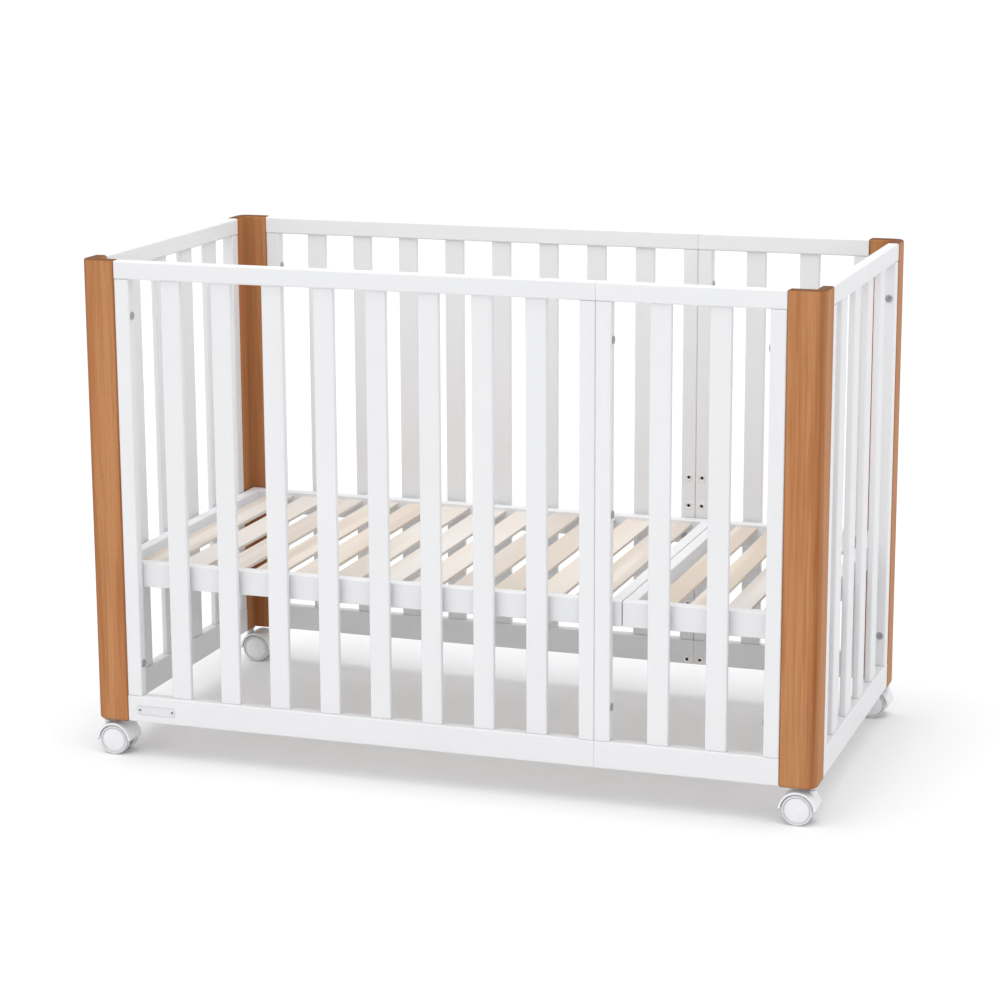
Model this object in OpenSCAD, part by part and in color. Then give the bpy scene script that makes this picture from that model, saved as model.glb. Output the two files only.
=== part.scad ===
// Baby crib. Six white slatted panel sections stand between four stained L-shaped corner
// posts. A slatted mattress base in two frames hangs inside, and four twin-wheel casters
// carry it. Millimetres, +Z up, origin on the floor under the middle of the crib.

/* [Overall] */
// Length over the corner posts, along X
crib_length = 1244; // [1000:1:1500]
// Width over the corner posts, along Y
crib_width = 648; // [560:1:800]
// Height from the floor to the tops of the posts
crib_height = 847; // [700:1:1050]
// Distance from the middle of the crib to the joint between long and short sections
split_offset = 260; // [0:1:330]

/* [Corner posts] */
// Width of each leg of the L-shaped post
post_leg = 60; // [48:1:80]
// Thickness of the legs of the post
post_thickness = 20; // [18:0.5:28]
// Rounding of the long edges and ends of the posts
post_round = 4; // [1:0.5:6]

/* [Panel sections] */
// Thickness of the rails and stiles
board_thickness = 20; // [18:0.5:26]
// Step from the face of a post back to the face of a panel
panel_inset = 1; // [0:0.5:2]
// Height of the top rails
top_rail_height = 30; // [26:1:50]
// Height of the bottom rails
bottom_rail_height = 46; // [34:1:70]
// Width of the upright stiles at the ends of each section
stile_width = 26; // [24:1:34]
// Rounding of the long edges of rails, stiles and slats
edge_round = 3; // [0.5:0.5:4]
// Thickness of the upright slats
slat_thickness = 11; // [9:0.5:14]
// Width of the slats in the long sides
side_slat_width = 35; // [25:1:50]
// Number of slats in each long section
long_slat_count = 8; // [5:1:10]
// Number of slats in each short section
short_slat_count = 2; // [1:1:3]
// Width of the slats in the end panels
end_slat_width = 44; // [30:1:60]
// Number of slats in each end panel
end_slat_count = 4; // [2:1:6]

/* [Joinery] */
// Depth of the tenons on the stiles
stile_tenon_depth = 15; // [8:1:20]
// Depth of the tenons on the slats
slat_tenon_depth = 10; // [6:1:15]
// Shoulder on each side of a slat's tenon
slat_shoulder = 2; // [1:0.5:3]
// Shoulder of the stile's tenon across its width
stile_shoulder = 4; // [2:0.5:6]
// Shoulder of the stile's tenon across its thickness
stile_face_shoulder = 6; // [4:0.5:7]
// Clearance around a tenon in its pocket
tenon_clearance = 0.2; // [0.1:0.05:0.5]

/* [Mattress base] */
// Height of the underside of the base above the floor
base_height = 293; // [200:1:400]
// Height of the rails of the base
base_rail_height = 42; // [34:1:60]
// Width of the rails of the base
base_rail_width = 20; // [16:1:30]
// Rounding of the edges of the rails of the base
base_edge_round = 2; // [0.5:0.5:4]
// Gap between the base and the panels around it
base_gap = 3; // [1:0.5:8]
// Gap between the two frames of the base
base_split_gap = 1.5; // [0.5:0.5:4]
// Length the base frame keeps clear of an end panel set at the joint
base_short_clearance = 0.5; // [0:0.5:3]
// Thickness of the base slats
base_slat_thickness = 6; // [5:0.5:10]
// Drop from the tops of the rails to the tops of the base slats
base_slat_drop = 6; // [0:0.5:12]
// Depth the base slats enter the side rails
base_slat_seat = 8; // [5:0.5:12]
// Rounding of the edges of the base slats
base_slat_round = 1.5; // [0.5:0.25:2.5]
// Width of the slats in the long frame of the base
long_base_slat_width = 51; // [35:1:60]
// Number of slats in the long frame of the base
long_base_slat_count = 12; // [8:1:14]
// Width of the slats in the short frame of the base
short_base_slat_width = 40; // [30:1:55]
// Number of slats in the short frame of the base
short_base_slat_count = 4; // [2:1:5]
// Depth of the tenons on the end rails of the base
base_tenon_depth = 10; // [6:1:14]
// Shoulder of those tenons across the width of the rail
base_tenon_side_shoulder = 5; // [3:0.5:7]
// Shoulder of those tenons across the height of the rail
base_tenon_top_shoulder = 6; // [4:0.5:14]

/* [Bolts and inserts] */
// Radius of the bolts
bolt_radius = 2.95; // [2.4:0.05:3.5]
// Radius of the bolt heads
bolt_head_radius = 6.5; // [5:0.1:6.8]
// Height of the bolt heads
bolt_head_height = 2.2; // [1.5:0.1:3.5]
// Width across the flats of the hexagon sockets
socket_flats = 4; // [3:0.5:6]
// Depth of the hexagon sockets
socket_depth = 1.6; // [1:0.1:2]
// Radial clearance of a bolt in the wood
bolt_clearance = 0.25; // [0.1:0.05:0.5]
// Radial clearance of a bolt in an insert, and of an insert in its hole
insert_clearance = 0.05; // [0.02:0.01:0.1]
// Length of the bolts that hold the panels to the posts
post_bolt_length = 50; // [40:1:56]
// Drop from the underside of the top rail to the upper bolts
upper_bolt_drop = 60.5; // [30:0.5:120]
// Rise from the top of the bottom rail to the lower bolts
lower_bolt_rise = 55; // [30:0.5:120]
// Drop from the underside of the top rail to the middle section bolt
middle_bolt_drop = 338; // [200:1:400]
// Outer radius of the sunk inserts
nut_radius = 5; // [4:0.1:6]
// Length of the sunk inserts
nut_length = 13; // [8:1:16]
// Outer radius of the flanged inserts
insert_radius = 4.5; // [4:0.1:5.5]
// Length of the flanged inserts in the wood
insert_length = 12; // [8:0.5:15]
// Radius of the flanges on those inserts
insert_flange_radius = 6.75; // [5.5:0.25:8]
// Thickness of the flanges on those inserts
insert_flange = 0.8; // [0.5:0.1:1.5]
// Distance of the flanged inserts from the joint between the sections
insert_offset = 12; // [10:0.5:14]
// Rise from the underside of the base to its bolts
base_bolt_rise = 12; // [8:0.5:20]
// Spacing of the upper rows of flanged inserts
insert_pitch = 51.5; // [30:0.5:70]
// Height of the lower row of flanged inserts in the stiles
stile_insert_height = 174.5; // [170:0.5:240]
// Rise from the underside of the bottom rail to the inserts in it
rail_insert_rise = 9; // [8:0.5:12]
// Distance of the frame-joining bolts from the middle of the base
link_bolt_offset = 200; // [80:1:240]
// Wood left past the ends of the frame-joining bolts
link_bolt_cover = 6; // [4:0.5:12]

/* [Nameplate] */
// Length of the blank nameplate
plate_length = 69; // [30:1:100]
// Height of the blank nameplate
plate_height = 17; // [10:1:30]
// Distance from the post to the nameplate
plate_offset = 17; // [10:1:60]
// Drop of the nameplate below the middle of its rail
plate_drop = 1.5; // [0:0.5:6]
// Thickness of the nameplate
plate_thickness = 0.6; // [0.4:0.1:0.8]
// Rounding of the corners of the nameplate
plate_round = 3; // [1:0.5:6]
// Distance of the rivets from the ends of the nameplate
rivet_inset = 5; // [4:0.5:10]
// Radius of the rivet shanks
rivet_radius = 1.2; // [0.8:0.1:1.6]
// Radius of the rivet heads
rivet_head_radius = 2; // [1.8:0.1:3]
// Depth the rivets enter the rail
rivet_depth = 6; // [3:0.5:10]

/* [Casters] */
// Radius of the caster wheels
wheel_radius = 25; // [18:0.5:32]
// Width of each wheel
wheel_width = 16; // [10:0.5:20]
// Half the gap between the two wheels of a caster
wheel_half_gap = 8; // [7.5:0.5:10]
// Rounding of the rims of the wheels
tyre_round = 1.5; // [0.5:0.25:3]
// Width of the face of the tyre around the hub cap
tyre_width = 3; // [2:0.5:5]
// Width of the groove between the tyre and the hub cap
groove_width = 3; // [1.5:0.5:5]
// Depth of the groove between the tyre and the hub cap
groove_depth = 1.6; // [0.5:0.1:3]
// Rise of the hub cap from its rim to its middle
cap_rise = 0.8; // [0.3:0.1:1.2]
// Gap between the wheel and the hood over it
hood_gap = 1.5; // [1:0.25:3]
// Wall of the hood
hood_wall = 3.5; // [2:0.25:5]
// Half the thickness of the web between the wheels
web_half = 6; // [4:0.5:6.5]
// Radius of the socket tower around the stem
tower_radius = 7; // [6:0.25:7.25]
// Thickness of the floor of the socket tower
tower_floor = 4; // [2:0.5:6]
// Radius of the boss around the axle
boss_radius = 9; // [6:0.5:12]
// Horizontal distance from the stem to the axle
trail = 20; // [12:0.5:24]
// Radius of the axle
axle_radius = 3; // [2:0.25:4]
// Depth the axle enters each wheel
axle_depth = 11.5; // [6:0.5:14]
// Space left past the ends of the axle and the stem
end_space = 0.5; // [0.3:0.1:1]
// Radial clearance of the turning fits
running_clearance = 0.06; // [0.02:0.01:0.1]
// Radius of the stem
stem_radius = 4; // [3:0.25:5]
// Depth the stem enters the hood
stem_hood_depth = 32; // [20:1:34]
// Height the stem reaches into the post
stem_post_depth = 39; // [25:1:60]
// Radius of the collar on the stem
collar_radius = 6.5; // [5.5:0.25:8]
// Height of the collar on the stem
collar_height = 3.6; // [2:0.1:6]
// Gap between the collar and the hood
swivel_gap = 0.4; // [0.3:0.1:1]
// Outer radius of the socket in the post
stem_socket_radius = 5.5; // [5:0.25:7]
// Radius of the flange under the post
stem_flange_radius = 9; // [7:0.5:9.5]
// Thickness of the flange under the post
stem_flange = 2; // [1:0.25:3]

/* [Hidden] */
$fn = 48;
white = [0.92, 0.92, 0.93];
stain = [0.70, 0.43, 0.26];
pine = [0.88, 0.80, 0.72];
steel = [0.72, 0.72, 0.74];
dark_steel = [0.35, 0.35, 0.37];
plastic = [0.93, 0.93, 0.93];
grey_plastic = [0.86, 0.86, 0.87];
half_length = crib_length / 2;
half_width = crib_width / 2;
hood_radius = wheel_radius + hood_gap + hood_wall;
post_bottom = wheel_radius + hood_radius + swivel_gap + collar_height + stem_flange;
post_height = crib_height - post_bottom;
panel_y = half_width - panel_inset - board_thickness / 2;
panel_x = half_length - panel_inset - board_thickness / 2;
top_rail_low = crib_height - panel_inset - top_rail_height;
bottom_rail_low = post_bottom + panel_inset;
bottom_rail_top = bottom_rail_low + bottom_rail_height;
upright_height = top_rail_low - bottom_rail_top;
upright_middle = (top_rail_low + bottom_rail_top) / 2;
side_start = half_length - post_leg;
long_length = side_start + split_offset;
short_length = side_start - split_offset;
end_length = crib_width - 2 * post_leg;
stile_tenon_width = stile_width - 2 * stile_shoulder;
stile_tenon_thickness = board_thickness - 2 * stile_face_shoulder;
slat_tenon_thickness = slat_thickness - 2 * slat_shoulder;
upper_bolt = top_rail_low - upper_bolt_drop;
lower_bolt = bottom_rail_top + lower_bolt_rise;
middle_bolt = top_rail_low - middle_bolt_drop;
post_bolts = [lower_bolt, upper_bolt];
section_bolts_at = [lower_bolt, middle_bolt, upper_bolt];
bolt_hole = bolt_radius + bolt_clearance;
nut_hole = nut_radius + insert_clearance;
insert_hole = insert_radius + insert_clearance;
thread_radius = bolt_radius + insert_clearance;
base_bolt_height = base_height + base_bolt_rise;
rail_insert_height = bottom_rail_low + rail_insert_rise;
stile_inserts = [stile_insert_height, base_bolt_height, base_bolt_height + insert_pitch,
    base_bolt_height + 2 * insert_pitch];
panel_inner_y = panel_y - board_thickness / 2;
panel_inner_x = panel_x - board_thickness / 2;
base_outer_y = panel_inner_y - base_gap;
base_inner_y = base_outer_y - base_rail_width;
base_end = panel_inner_x - base_gap;
base_split = split_offset + post_leg - panel_inset - board_thickness - base_short_clearance;
short_base_start = base_split + base_split_gap;
long_base_length = base_split + base_end;
short_base_length = base_end - short_base_start;
base_rail_middle = base_height + base_rail_height / 2;
base_slat_middle = base_height + base_rail_height - base_slat_drop - base_slat_thickness / 2;
outer_bolt_x = side_start - stile_width / 2;
inner_bolt_x = split_offset - insert_offset;
bolt_end_space = 1;
base_bolt_length = base_rail_width + base_gap + insert_length - bolt_end_space;
link_bolt_length = 2 * base_rail_width + base_split_gap - link_bolt_cover;
section_bolt_length = stile_width + nut_length;
nut_overrun = 8;
plate_x = -side_start + plate_offset + plate_length / 2;
plate_z = (bottom_rail_low + bottom_rail_top) / 2 - plate_drop;
plate_back = panel_y + board_thickness / 2;
rivet_head = panel_inset - plate_thickness;
rivet_clearance = 0.05;
stem_x = half_length - post_thickness / 2;
stem_y = half_width - wheel_half_gap - wheel_width;
axle_bore = axle_radius + running_clearance;
stem_bore = stem_radius + running_clearance;
tower_drop = hood_radius - stem_hood_depth - tower_floor;
cap_radius = wheel_radius - tyre_width - groove_width;
cap_middle = cap_radius / 3;
groove_slope = 0.6;
cut_over = 2;

// ---- shared shapes ----

// Section of a board with rounded edges, centred
module board_section(w, h, r) {
    square([w - 2 * r, h], center = true);
    square([w, h - 2 * r], center = true);
    for (sx = [-1, 1])
        for (sy = [-1, 1])
            translate([sx * (w / 2 - r), sy * (h / 2 - r)])
                circle(r = r);
}

// Board along X, w across Y and h up
module bar_x(length, w, h, r) {
    rotate([90, 0, 90])
        linear_extrude(height = length, center = true)
            board_section(w, h, r);
}

// Board along Y, w across X and h up
module bar_y(length, w, h, r) {
    rotate([90, 0, 0])
        linear_extrude(height = length, center = true)
            board_section(w, h, r);
}

// Upright board, w along X and h along Y
module bar_z(length, w, h, r) {
    linear_extrude(height = length, center = true)
        board_section(w, h, r);
}

// Copies at two ends or sides
module both(axis) {
    children();
    mirror(axis)
        children();
}

// Copies at all four corners
module corners() {
    both([1, 0, 0])
        both([0, 1, 0])
            children();
}

// Socket-head bolt, head up from z = 0 and shank below
module bolt(length) {
    difference() {
        cylinder(r = bolt_head_radius, h = bolt_head_height);
        translate([0, 0, bolt_head_height - socket_depth])
            cylinder(r = socket_flats / sqrt(3), h = socket_depth + cut_over, $fn = 6);
    }
    translate([0, 0, -length])
        cylinder(r = bolt_radius, h = length);
}

// Sunk insert, mouth at z = 0
module sunk_insert() {
    difference() {
        translate([0, 0, -nut_length])
            cylinder(r = nut_radius, h = nut_length);
        translate([0, 0, -nut_length - cut_over])
            cylinder(r = thread_radius, h = nut_length + 2 * cut_over);
    }
}

// Hole for a sunk insert and the bolt that runs past it
module sunk_insert_hole(bolt_depth) {
    translate([0, 0, -nut_length])
        cylinder(r = nut_hole, h = nut_length + cut_over);
    translate([0, 0, -bolt_depth])
        cylinder(r = bolt_hole, h = bolt_depth);
}

// Flanged insert, wood surface at z = 0
module flanged_insert() {
    difference() {
        union() {
            cylinder(r = insert_flange_radius, h = insert_flange);
            translate([0, 0, -insert_length])
                cylinder(r = insert_radius, h = insert_length);
        }
        translate([0, 0, -insert_length - cut_over])
            cylinder(r = thread_radius, h = insert_length + insert_flange + 2 * cut_over);
    }
}

// Hole for a flanged insert
module flanged_insert_hole() {
    translate([0, 0, -insert_length - tenon_clearance])
        cylinder(r = insert_hole, h = insert_length + tenon_clearance + cut_over);
}

// ---- corner post at the front left ----

// Plan of the post with rounded leg ends
module post_plan() {
    for (turn = [0, 1])
        mirror([turn, -turn])
            translate([post_thickness, 0]) {
                square([post_leg - post_thickness - post_round, post_thickness]);
                translate([0, post_round])
                    square([post_leg - post_thickness, post_thickness - 2 * post_round]);
                for (y = [post_round, post_thickness - post_round])
                    translate([post_leg - post_thickness - post_round, y])
                        circle(r = post_round);
            }
    square(post_thickness);
}

// Upright section of one leg, standing on y = 0
module post_leg_section() {
    translate([post_thickness / 2, post_height / 2])
        board_section(post_thickness, post_height, post_round);
}

module post_blank() {
    intersection() {
        union() {
            translate([post_thickness, post_thickness, 0])
                rotate([0, 0, 180])
                    rotate_extrude(angle = 90)
                        post_leg_section();
            translate([post_thickness, 0, 0])
                rotate([90, 0, 90])
                    linear_extrude(height = post_leg - post_thickness)
                        post_leg_section();
            translate([0, post_leg, 0])
                rotate([90, 0, 0])
                    linear_extrude(height = post_leg - post_thickness)
                        post_leg_section();
        }
        linear_extrude(height = post_height)
            post_plan();
    }
}

module post() {
    difference() {
        translate([-half_length, -half_width, post_bottom])
            post_blank();
        for (z = post_bolts) {
            translate([-side_start, -panel_y, z])
                rotate([0, 90, 0])
                    sunk_insert_hole(post_bolt_length - stile_width + nut_overrun);
            translate([-panel_x, -half_width + post_leg, z])
                rotate([-90, 0, 0])
                    sunk_insert_hole(post_bolt_length - stile_width + nut_overrun);
        }
        translate([-stem_x, -stem_y, post_bottom - cut_over])
            cylinder(r = stem_socket_radius + insert_clearance,
                h = stem_post_depth + end_space + cut_over);
    }
}

// ---- panel sections, length along X from 0, thickness centred on Y ----

function slat_gap(length, count, width) =
    (length - 2 * stile_width - count * width) / (count + 1);
function slat_at(length, count, width, i) =
    stile_width + slat_gap(length, count, width) * (i + 1) + width * (i + 0.5);

// Pockets for every tenon in one rail face at height z
module tenon_pockets(length, count, width, z) {
    for (x = [stile_width / 2, length - stile_width / 2])
        translate([x, 0, z])
            cube([stile_tenon_width + 2 * tenon_clearance,
                stile_tenon_thickness + 2 * tenon_clearance,
                2 * (stile_tenon_depth + tenon_clearance)], center = true);
    for (i = [0 : count - 1])
        translate([slat_at(length, count, width, i), 0, z])
            cube([width - 2 * slat_shoulder + 2 * tenon_clearance,
                slat_tenon_thickness + 2 * tenon_clearance,
                2 * (slat_tenon_depth + tenon_clearance)], center = true);
}

module top_rail(length, count, width) {
    difference() {
        translate([length / 2, 0, top_rail_low + top_rail_height / 2])
            bar_x(length, board_thickness, top_rail_height, edge_round);
        tenon_pockets(length, count, width, top_rail_low);
    }
}

module bottom_rail(length, count, width) {
    difference() {
        translate([length / 2, 0, bottom_rail_low + bottom_rail_height / 2])
            bar_x(length, board_thickness, bottom_rail_height, edge_round);
        tenon_pockets(length, count, width, bottom_rail_top);
    }
}

module slats(length, count, width) {
    for (i = [0 : count - 1])
        translate([slat_at(length, count, width, i), 0, upright_middle]) {
            bar_z(upright_height, width, slat_thickness, edge_round);
            cube([width - 2 * slat_shoulder, slat_tenon_thickness,
                upright_height + 2 * slat_tenon_depth], center = true);
        }
}

module stile(x) {
    translate([x, 0, upright_middle]) {
        bar_z(upright_height, stile_width, board_thickness, edge_round);
        cube([stile_tenon_width, stile_tenon_thickness,
            upright_height + 2 * stile_tenon_depth], center = true);
    }
}

// Clear hole for a bolt, along X through a stile centred at x
module stile_bolt_hole(x, z) {
    translate([x, 0, z])
        rotate([0, 90, 0])
            cylinder(r = bolt_hole, h = stile_width + 2 * cut_over, center = true);
}

// Holes for the flanged inserts, in the face towards +Y
module stile_insert_holes(x) {
    for (z = stile_inserts)
        translate([x, board_thickness / 2, z])
            rotate([-90, 0, 0])
                flanged_insert_hole();
}

module rail_insert_hole(x) {
    translate([x, board_thickness / 2, rail_insert_height])
        rotate([-90, 0, 0])
            flanged_insert_hole();
}

// Hole for the flanged insert that takes a base bolt near a post
module base_insert_hole(x) {
    translate([x, board_thickness / 2, base_bolt_height])
        rotate([-90, 0, 0])
            flanged_insert_hole();
}

module long_stiles() {
    difference() {
        union() {
            stile(stile_width / 2);
            stile(long_length - stile_width / 2);
        }
        for (z = post_bolts)
            stile_bolt_hole(stile_width / 2, z);
        base_insert_hole(stile_width / 2);
        stile_insert_holes(long_length - insert_offset);
        for (z = section_bolts_at)
            translate([long_length, 0, z])
                rotate([0, 90, 0])
                    sunk_insert_hole(nut_length + nut_overrun);
    }
}

module short_stiles() {
    difference() {
        union() {
            stile(stile_width / 2);
            stile(short_length - stile_width / 2);
        }
        for (z = post_bolts)
            stile_bolt_hole(short_length - stile_width / 2, z);
        base_insert_hole(short_length - stile_width / 2);
        stile_insert_holes(insert_offset);
        for (z = section_bolts_at)
            stile_bolt_hole(stile_width / 2, z);
    }
}

module end_stiles() {
    difference() {
        union() {
            stile(stile_width / 2);
            stile(end_length - stile_width / 2);
        }
        for (z = post_bolts) {
            stile_bolt_hole(stile_width / 2, z);
            stile_bolt_hole(end_length - stile_width / 2, z);
        }
    }
}

module long_bottom_rail() {
    difference() {
        bottom_rail(long_length, long_slat_count, side_slat_width);
        rail_insert_hole(long_length - insert_offset);
    }
}

module short_bottom_rail() {
    difference() {
        bottom_rail(short_length, short_slat_count, side_slat_width);
        rail_insert_hole(insert_offset);
    }
}

// Places in the crib; back and right pieces are mirror images
module long_front() {
    translate([-side_start, -panel_y, 0])
        children();
}

module short_front() {
    translate([split_offset, -panel_y, 0])
        children();
}

module left_end() {
    translate([-panel_x, -end_length / 2, 0])
        rotate([0, 0, 90])
            children();
}

// ---- mattress base ----

function base_gap_at(length, count, width) =
    (length - 2 * base_rail_width - count * width) / (count + 1);
function base_slat_at(start, length, count, width, i) =
    start + base_rail_width + base_gap_at(length, count, width) * (i + 1) + width * (i + 0.5);

// Two side rails with seats for the slats and the end rails
module base_side_rails(start, length, count, width, bolt_at) {
    difference() {
        both([0, 1, 0])
            translate([start + length / 2, -base_outer_y + base_rail_width / 2, base_rail_middle])
                bar_x(length, base_rail_width, base_rail_height, base_edge_round);
        for (i = [0 : count - 1])
            translate([base_slat_at(start, length, count, width, i), 0, base_slat_middle])
                cube([width + 2 * tenon_clearance,
                    2 * (base_inner_y + base_slat_seat + tenon_clearance),
                    base_slat_thickness + 2 * tenon_clearance], center = true);
        for (x = [start + base_rail_width / 2, start + length - base_rail_width / 2])
            translate([x, 0, base_rail_middle])
                cube([base_rail_width - 2 * base_tenon_side_shoulder + 2 * tenon_clearance,
                    2 * (base_inner_y + base_tenon_depth + tenon_clearance),
                    base_rail_height - 2 * base_tenon_top_shoulder + 2 * tenon_clearance],
                    center = true);
        for (x = bolt_at)
            translate([x, 0, base_bolt_height])
                rotate([90, 0, 0])
                    cylinder(r = bolt_hole, h = 2 * base_outer_y + 2 * cut_over, center = true);
    }
}

module base_end_rail(x) {
    translate([x, 0, base_rail_middle]) {
        bar_y(2 * base_inner_y, base_rail_width, base_rail_height, base_edge_round);
        cube([base_rail_width - 2 * base_tenon_side_shoulder,
            2 * (base_inner_y + base_tenon_depth),
            base_rail_height - 2 * base_tenon_top_shoulder], center = true);
    }
}

module base_slats(start, length, count, width) {
    for (i = [0 : count - 1])
        translate([base_slat_at(start, length, count, width, i), 0, base_slat_middle])
            bar_y(2 * (base_inner_y + base_slat_seat), width, base_slat_thickness,
                base_slat_round);
}

// ---- caster at the front left, axle on Y through the origin ----

module at_caster() {
    translate([trail - stem_x, -stem_y, wheel_radius])
        children();
}

module hood() {
    difference() {
        union() {
            rotate([90, 0, 0])
                linear_extrude(height = 2 * (wheel_half_gap + wheel_width), center = true)
                    difference() {
                        circle(r = hood_radius);
                        circle(r = hood_radius - hood_wall);
                        translate([-hood_radius - cut_over, -2 * (hood_radius + cut_over)])
                            square(2 * (hood_radius + cut_over));
                    }
            rotate([90, 0, 0])
                linear_extrude(height = 2 * web_half, center = true) {
                    circle(r = boss_radius);
                    difference() {
                        circle(r = hood_radius - hood_wall / 2);
                        translate([-hood_radius, -2 * hood_radius])
                            square(2 * hood_radius);
                    }
                }
            translate([-trail, 0, tower_drop])
                cylinder(r = tower_radius, h = hood_radius - tower_drop);
        }
        rotate([90, 0, 0])
            cylinder(r = axle_bore, h = 2 * web_half + 2 * cut_over, center = true);
        translate([-trail, 0, hood_radius - stem_hood_depth])
            cylinder(r = stem_bore, h = stem_hood_depth + cut_over);
    }
}

module axle() {
    rotate([90, 0, 0])
        cylinder(r = axle_radius, h = 2 * (wheel_half_gap + axle_depth), center = true);
}

// Wheel with its hub cap, on the side towards -Y
module wheel() {
    face = wheel_half_gap + wheel_width;
    bore_end = wheel_half_gap + axle_depth + end_space;
    rotate([90, 0, 0])
        rotate_extrude()
            polygon([[axle_bore, wheel_half_gap],
                [wheel_radius - tyre_round, wheel_half_gap],
                [wheel_radius, wheel_half_gap + tyre_round],
                [wheel_radius, face - tyre_round],
                [wheel_radius - tyre_round, face],
                [wheel_radius - tyre_width, face],
                [wheel_radius - tyre_width - groove_slope, face - groove_depth],
                [cap_radius + groove_slope, face - groove_depth],
                [cap_radius, face - cap_rise],
                [2 * cap_middle, face - cap_rise / 3],
                [cap_middle, face], [0, face], [0, bore_end], [axle_bore, bore_end]]);
}

// Stem of the front left caster, collar under the post
module stem() {
    translate([-stem_x, -stem_y, 0]) {
        translate([0, 0, wheel_radius + hood_radius - stem_hood_depth + end_space])
            cylinder(r = stem_radius, h = post_bottom + stem_post_depth
                - wheel_radius - hood_radius + stem_hood_depth - end_space);
        translate([0, 0, post_bottom - stem_flange - collar_height])
            cylinder(r = collar_radius, h = collar_height);
    }
}

// Flanged socket pressed into the foot of the post
module stem_socket() {
    translate([-stem_x, -stem_y, post_bottom])
        difference() {
            union() {
                cylinder(r = stem_socket_radius, h = stem_post_depth);
                translate([0, 0, -stem_flange])
                    cylinder(r = stem_flange_radius, h = stem_flange);
            }
            translate([0, 0, -stem_flange - cut_over])
                cylinder(r = stem_radius + insert_clearance,
                    h = stem_post_depth + stem_flange + 2 * cut_over);
        }
}

// ---- nodes ----

module post_front_left() {
    color(stain)
        post();
}

module post_front_right() {
    color(stain)
        mirror([1, 0, 0])
            post();
}

module post_back_left() {
    color(stain)
        mirror([0, 1, 0])
            post();
}

module post_back_right() {
    color(stain)
        mirror([1, 0, 0])
            mirror([0, 1, 0])
                post();
}

module front_left_top_rail() {
    color(white)
        long_front()
            top_rail(long_length, long_slat_count, side_slat_width);
}

module front_left_bottom_rail() {
    color(white)
        difference() {
            long_front()
                long_bottom_rail();
            for (s = [-1, 1])
                translate([plate_x + s * (plate_length / 2 - rivet_inset), -plate_back, plate_z])
                    rotate([90, 0, 0])
                        cylinder(r = rivet_radius + rivet_clearance,
                            h = 2 * (rivet_depth + end_space), center = true);
        }
}

module front_left_stiles() {
    color(white)
        long_front()
            long_stiles();
}

module front_left_slats() {
    color(white)
        long_front()
            slats(long_length, long_slat_count, side_slat_width);
}

module front_right_top_rail() {
    color(white)
        short_front()
            top_rail(short_length, short_slat_count, side_slat_width);
}

module front_right_bottom_rail() {
    color(white)
        short_front()
            short_bottom_rail();
}

module front_right_stiles() {
    color(white)
        short_front()
            short_stiles();
}

module front_right_slats() {
    color(white)
        short_front()
            slats(short_length, short_slat_count, side_slat_width);
}

module back_left_top_rail() {
    color(white)
        mirror([0, 1, 0])
            long_front()
                top_rail(long_length, long_slat_count, side_slat_width);
}

module back_left_bottom_rail() {
    color(white)
        mirror([0, 1, 0])
            long_front()
                long_bottom_rail();
}

module back_left_stiles() {
    color(white)
        mirror([0, 1, 0])
            long_front()
                long_stiles();
}

module back_left_slats() {
    color(white)
        mirror([0, 1, 0])
            long_front()
                slats(long_length, long_slat_count, side_slat_width);
}

module back_right_top_rail() {
    color(white)
        mirror([0, 1, 0])
            short_front()
                top_rail(short_length, short_slat_count, side_slat_width);
}

module back_right_bottom_rail() {
    color(white)
        mirror([0, 1, 0])
            short_front()
                short_bottom_rail();
}

module back_right_stiles() {
    color(white)
        mirror([0, 1, 0])
            short_front()
                short_stiles();
}

module back_right_slats() {
    color(white)
        mirror([0, 1, 0])
            short_front()
                slats(short_length, short_slat_count, side_slat_width);
}

module left_end_top_rail() {
    color(white)
        left_end()
            top_rail(end_length, end_slat_count, end_slat_width);
}

module left_end_bottom_rail() {
    color(white)
        left_end()
            bottom_rail(end_length, end_slat_count, end_slat_width);
}

module left_end_stiles() {
    color(white)
        left_end()
            end_stiles();
}

module left_end_slats() {
    color(white)
        left_end()
            slats(end_length, end_slat_count, end_slat_width);
}

module right_end_top_rail() {
    color(white)
        mirror([1, 0, 0])
            left_end()
                top_rail(end_length, end_slat_count, end_slat_width);
}

module right_end_bottom_rail() {
    color(white)
        mirror([1, 0, 0])
            left_end()
                bottom_rail(end_length, end_slat_count, end_slat_width);
}

module right_end_stiles() {
    color(white)
        mirror([1, 0, 0])
            left_end()
                end_stiles();
}

module right_end_slats() {
    color(white)
        mirror([1, 0, 0])
            left_end()
                slats(end_length, end_slat_count, end_slat_width);
}

module base_left_side_rails() {
    color(white)
        base_side_rails(-base_end, long_base_length, long_base_slat_count,
            long_base_slat_width, [-outer_bolt_x, inner_bolt_x]);
}

module base_left_end_rails() {
    color(white)
        difference() {
            union() {
                base_end_rail(-base_end + base_rail_width / 2);
                base_end_rail(base_split - base_rail_width / 2);
            }
            both([0, 1, 0])
                translate([base_split, link_bolt_offset, base_bolt_height])
                    rotate([0, 90, 0])
                        sunk_insert_hole(base_rail_width - bolt_end_space);
        }
}

module base_left_slats() {
    color(pine)
        base_slats(-base_end, long_base_length, long_base_slat_count, long_base_slat_width);
}

module base_right_side_rails() {
    color(white)
        base_side_rails(short_base_start, short_base_length, short_base_slat_count,
            short_base_slat_width, [outer_bolt_x]);
}

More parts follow.
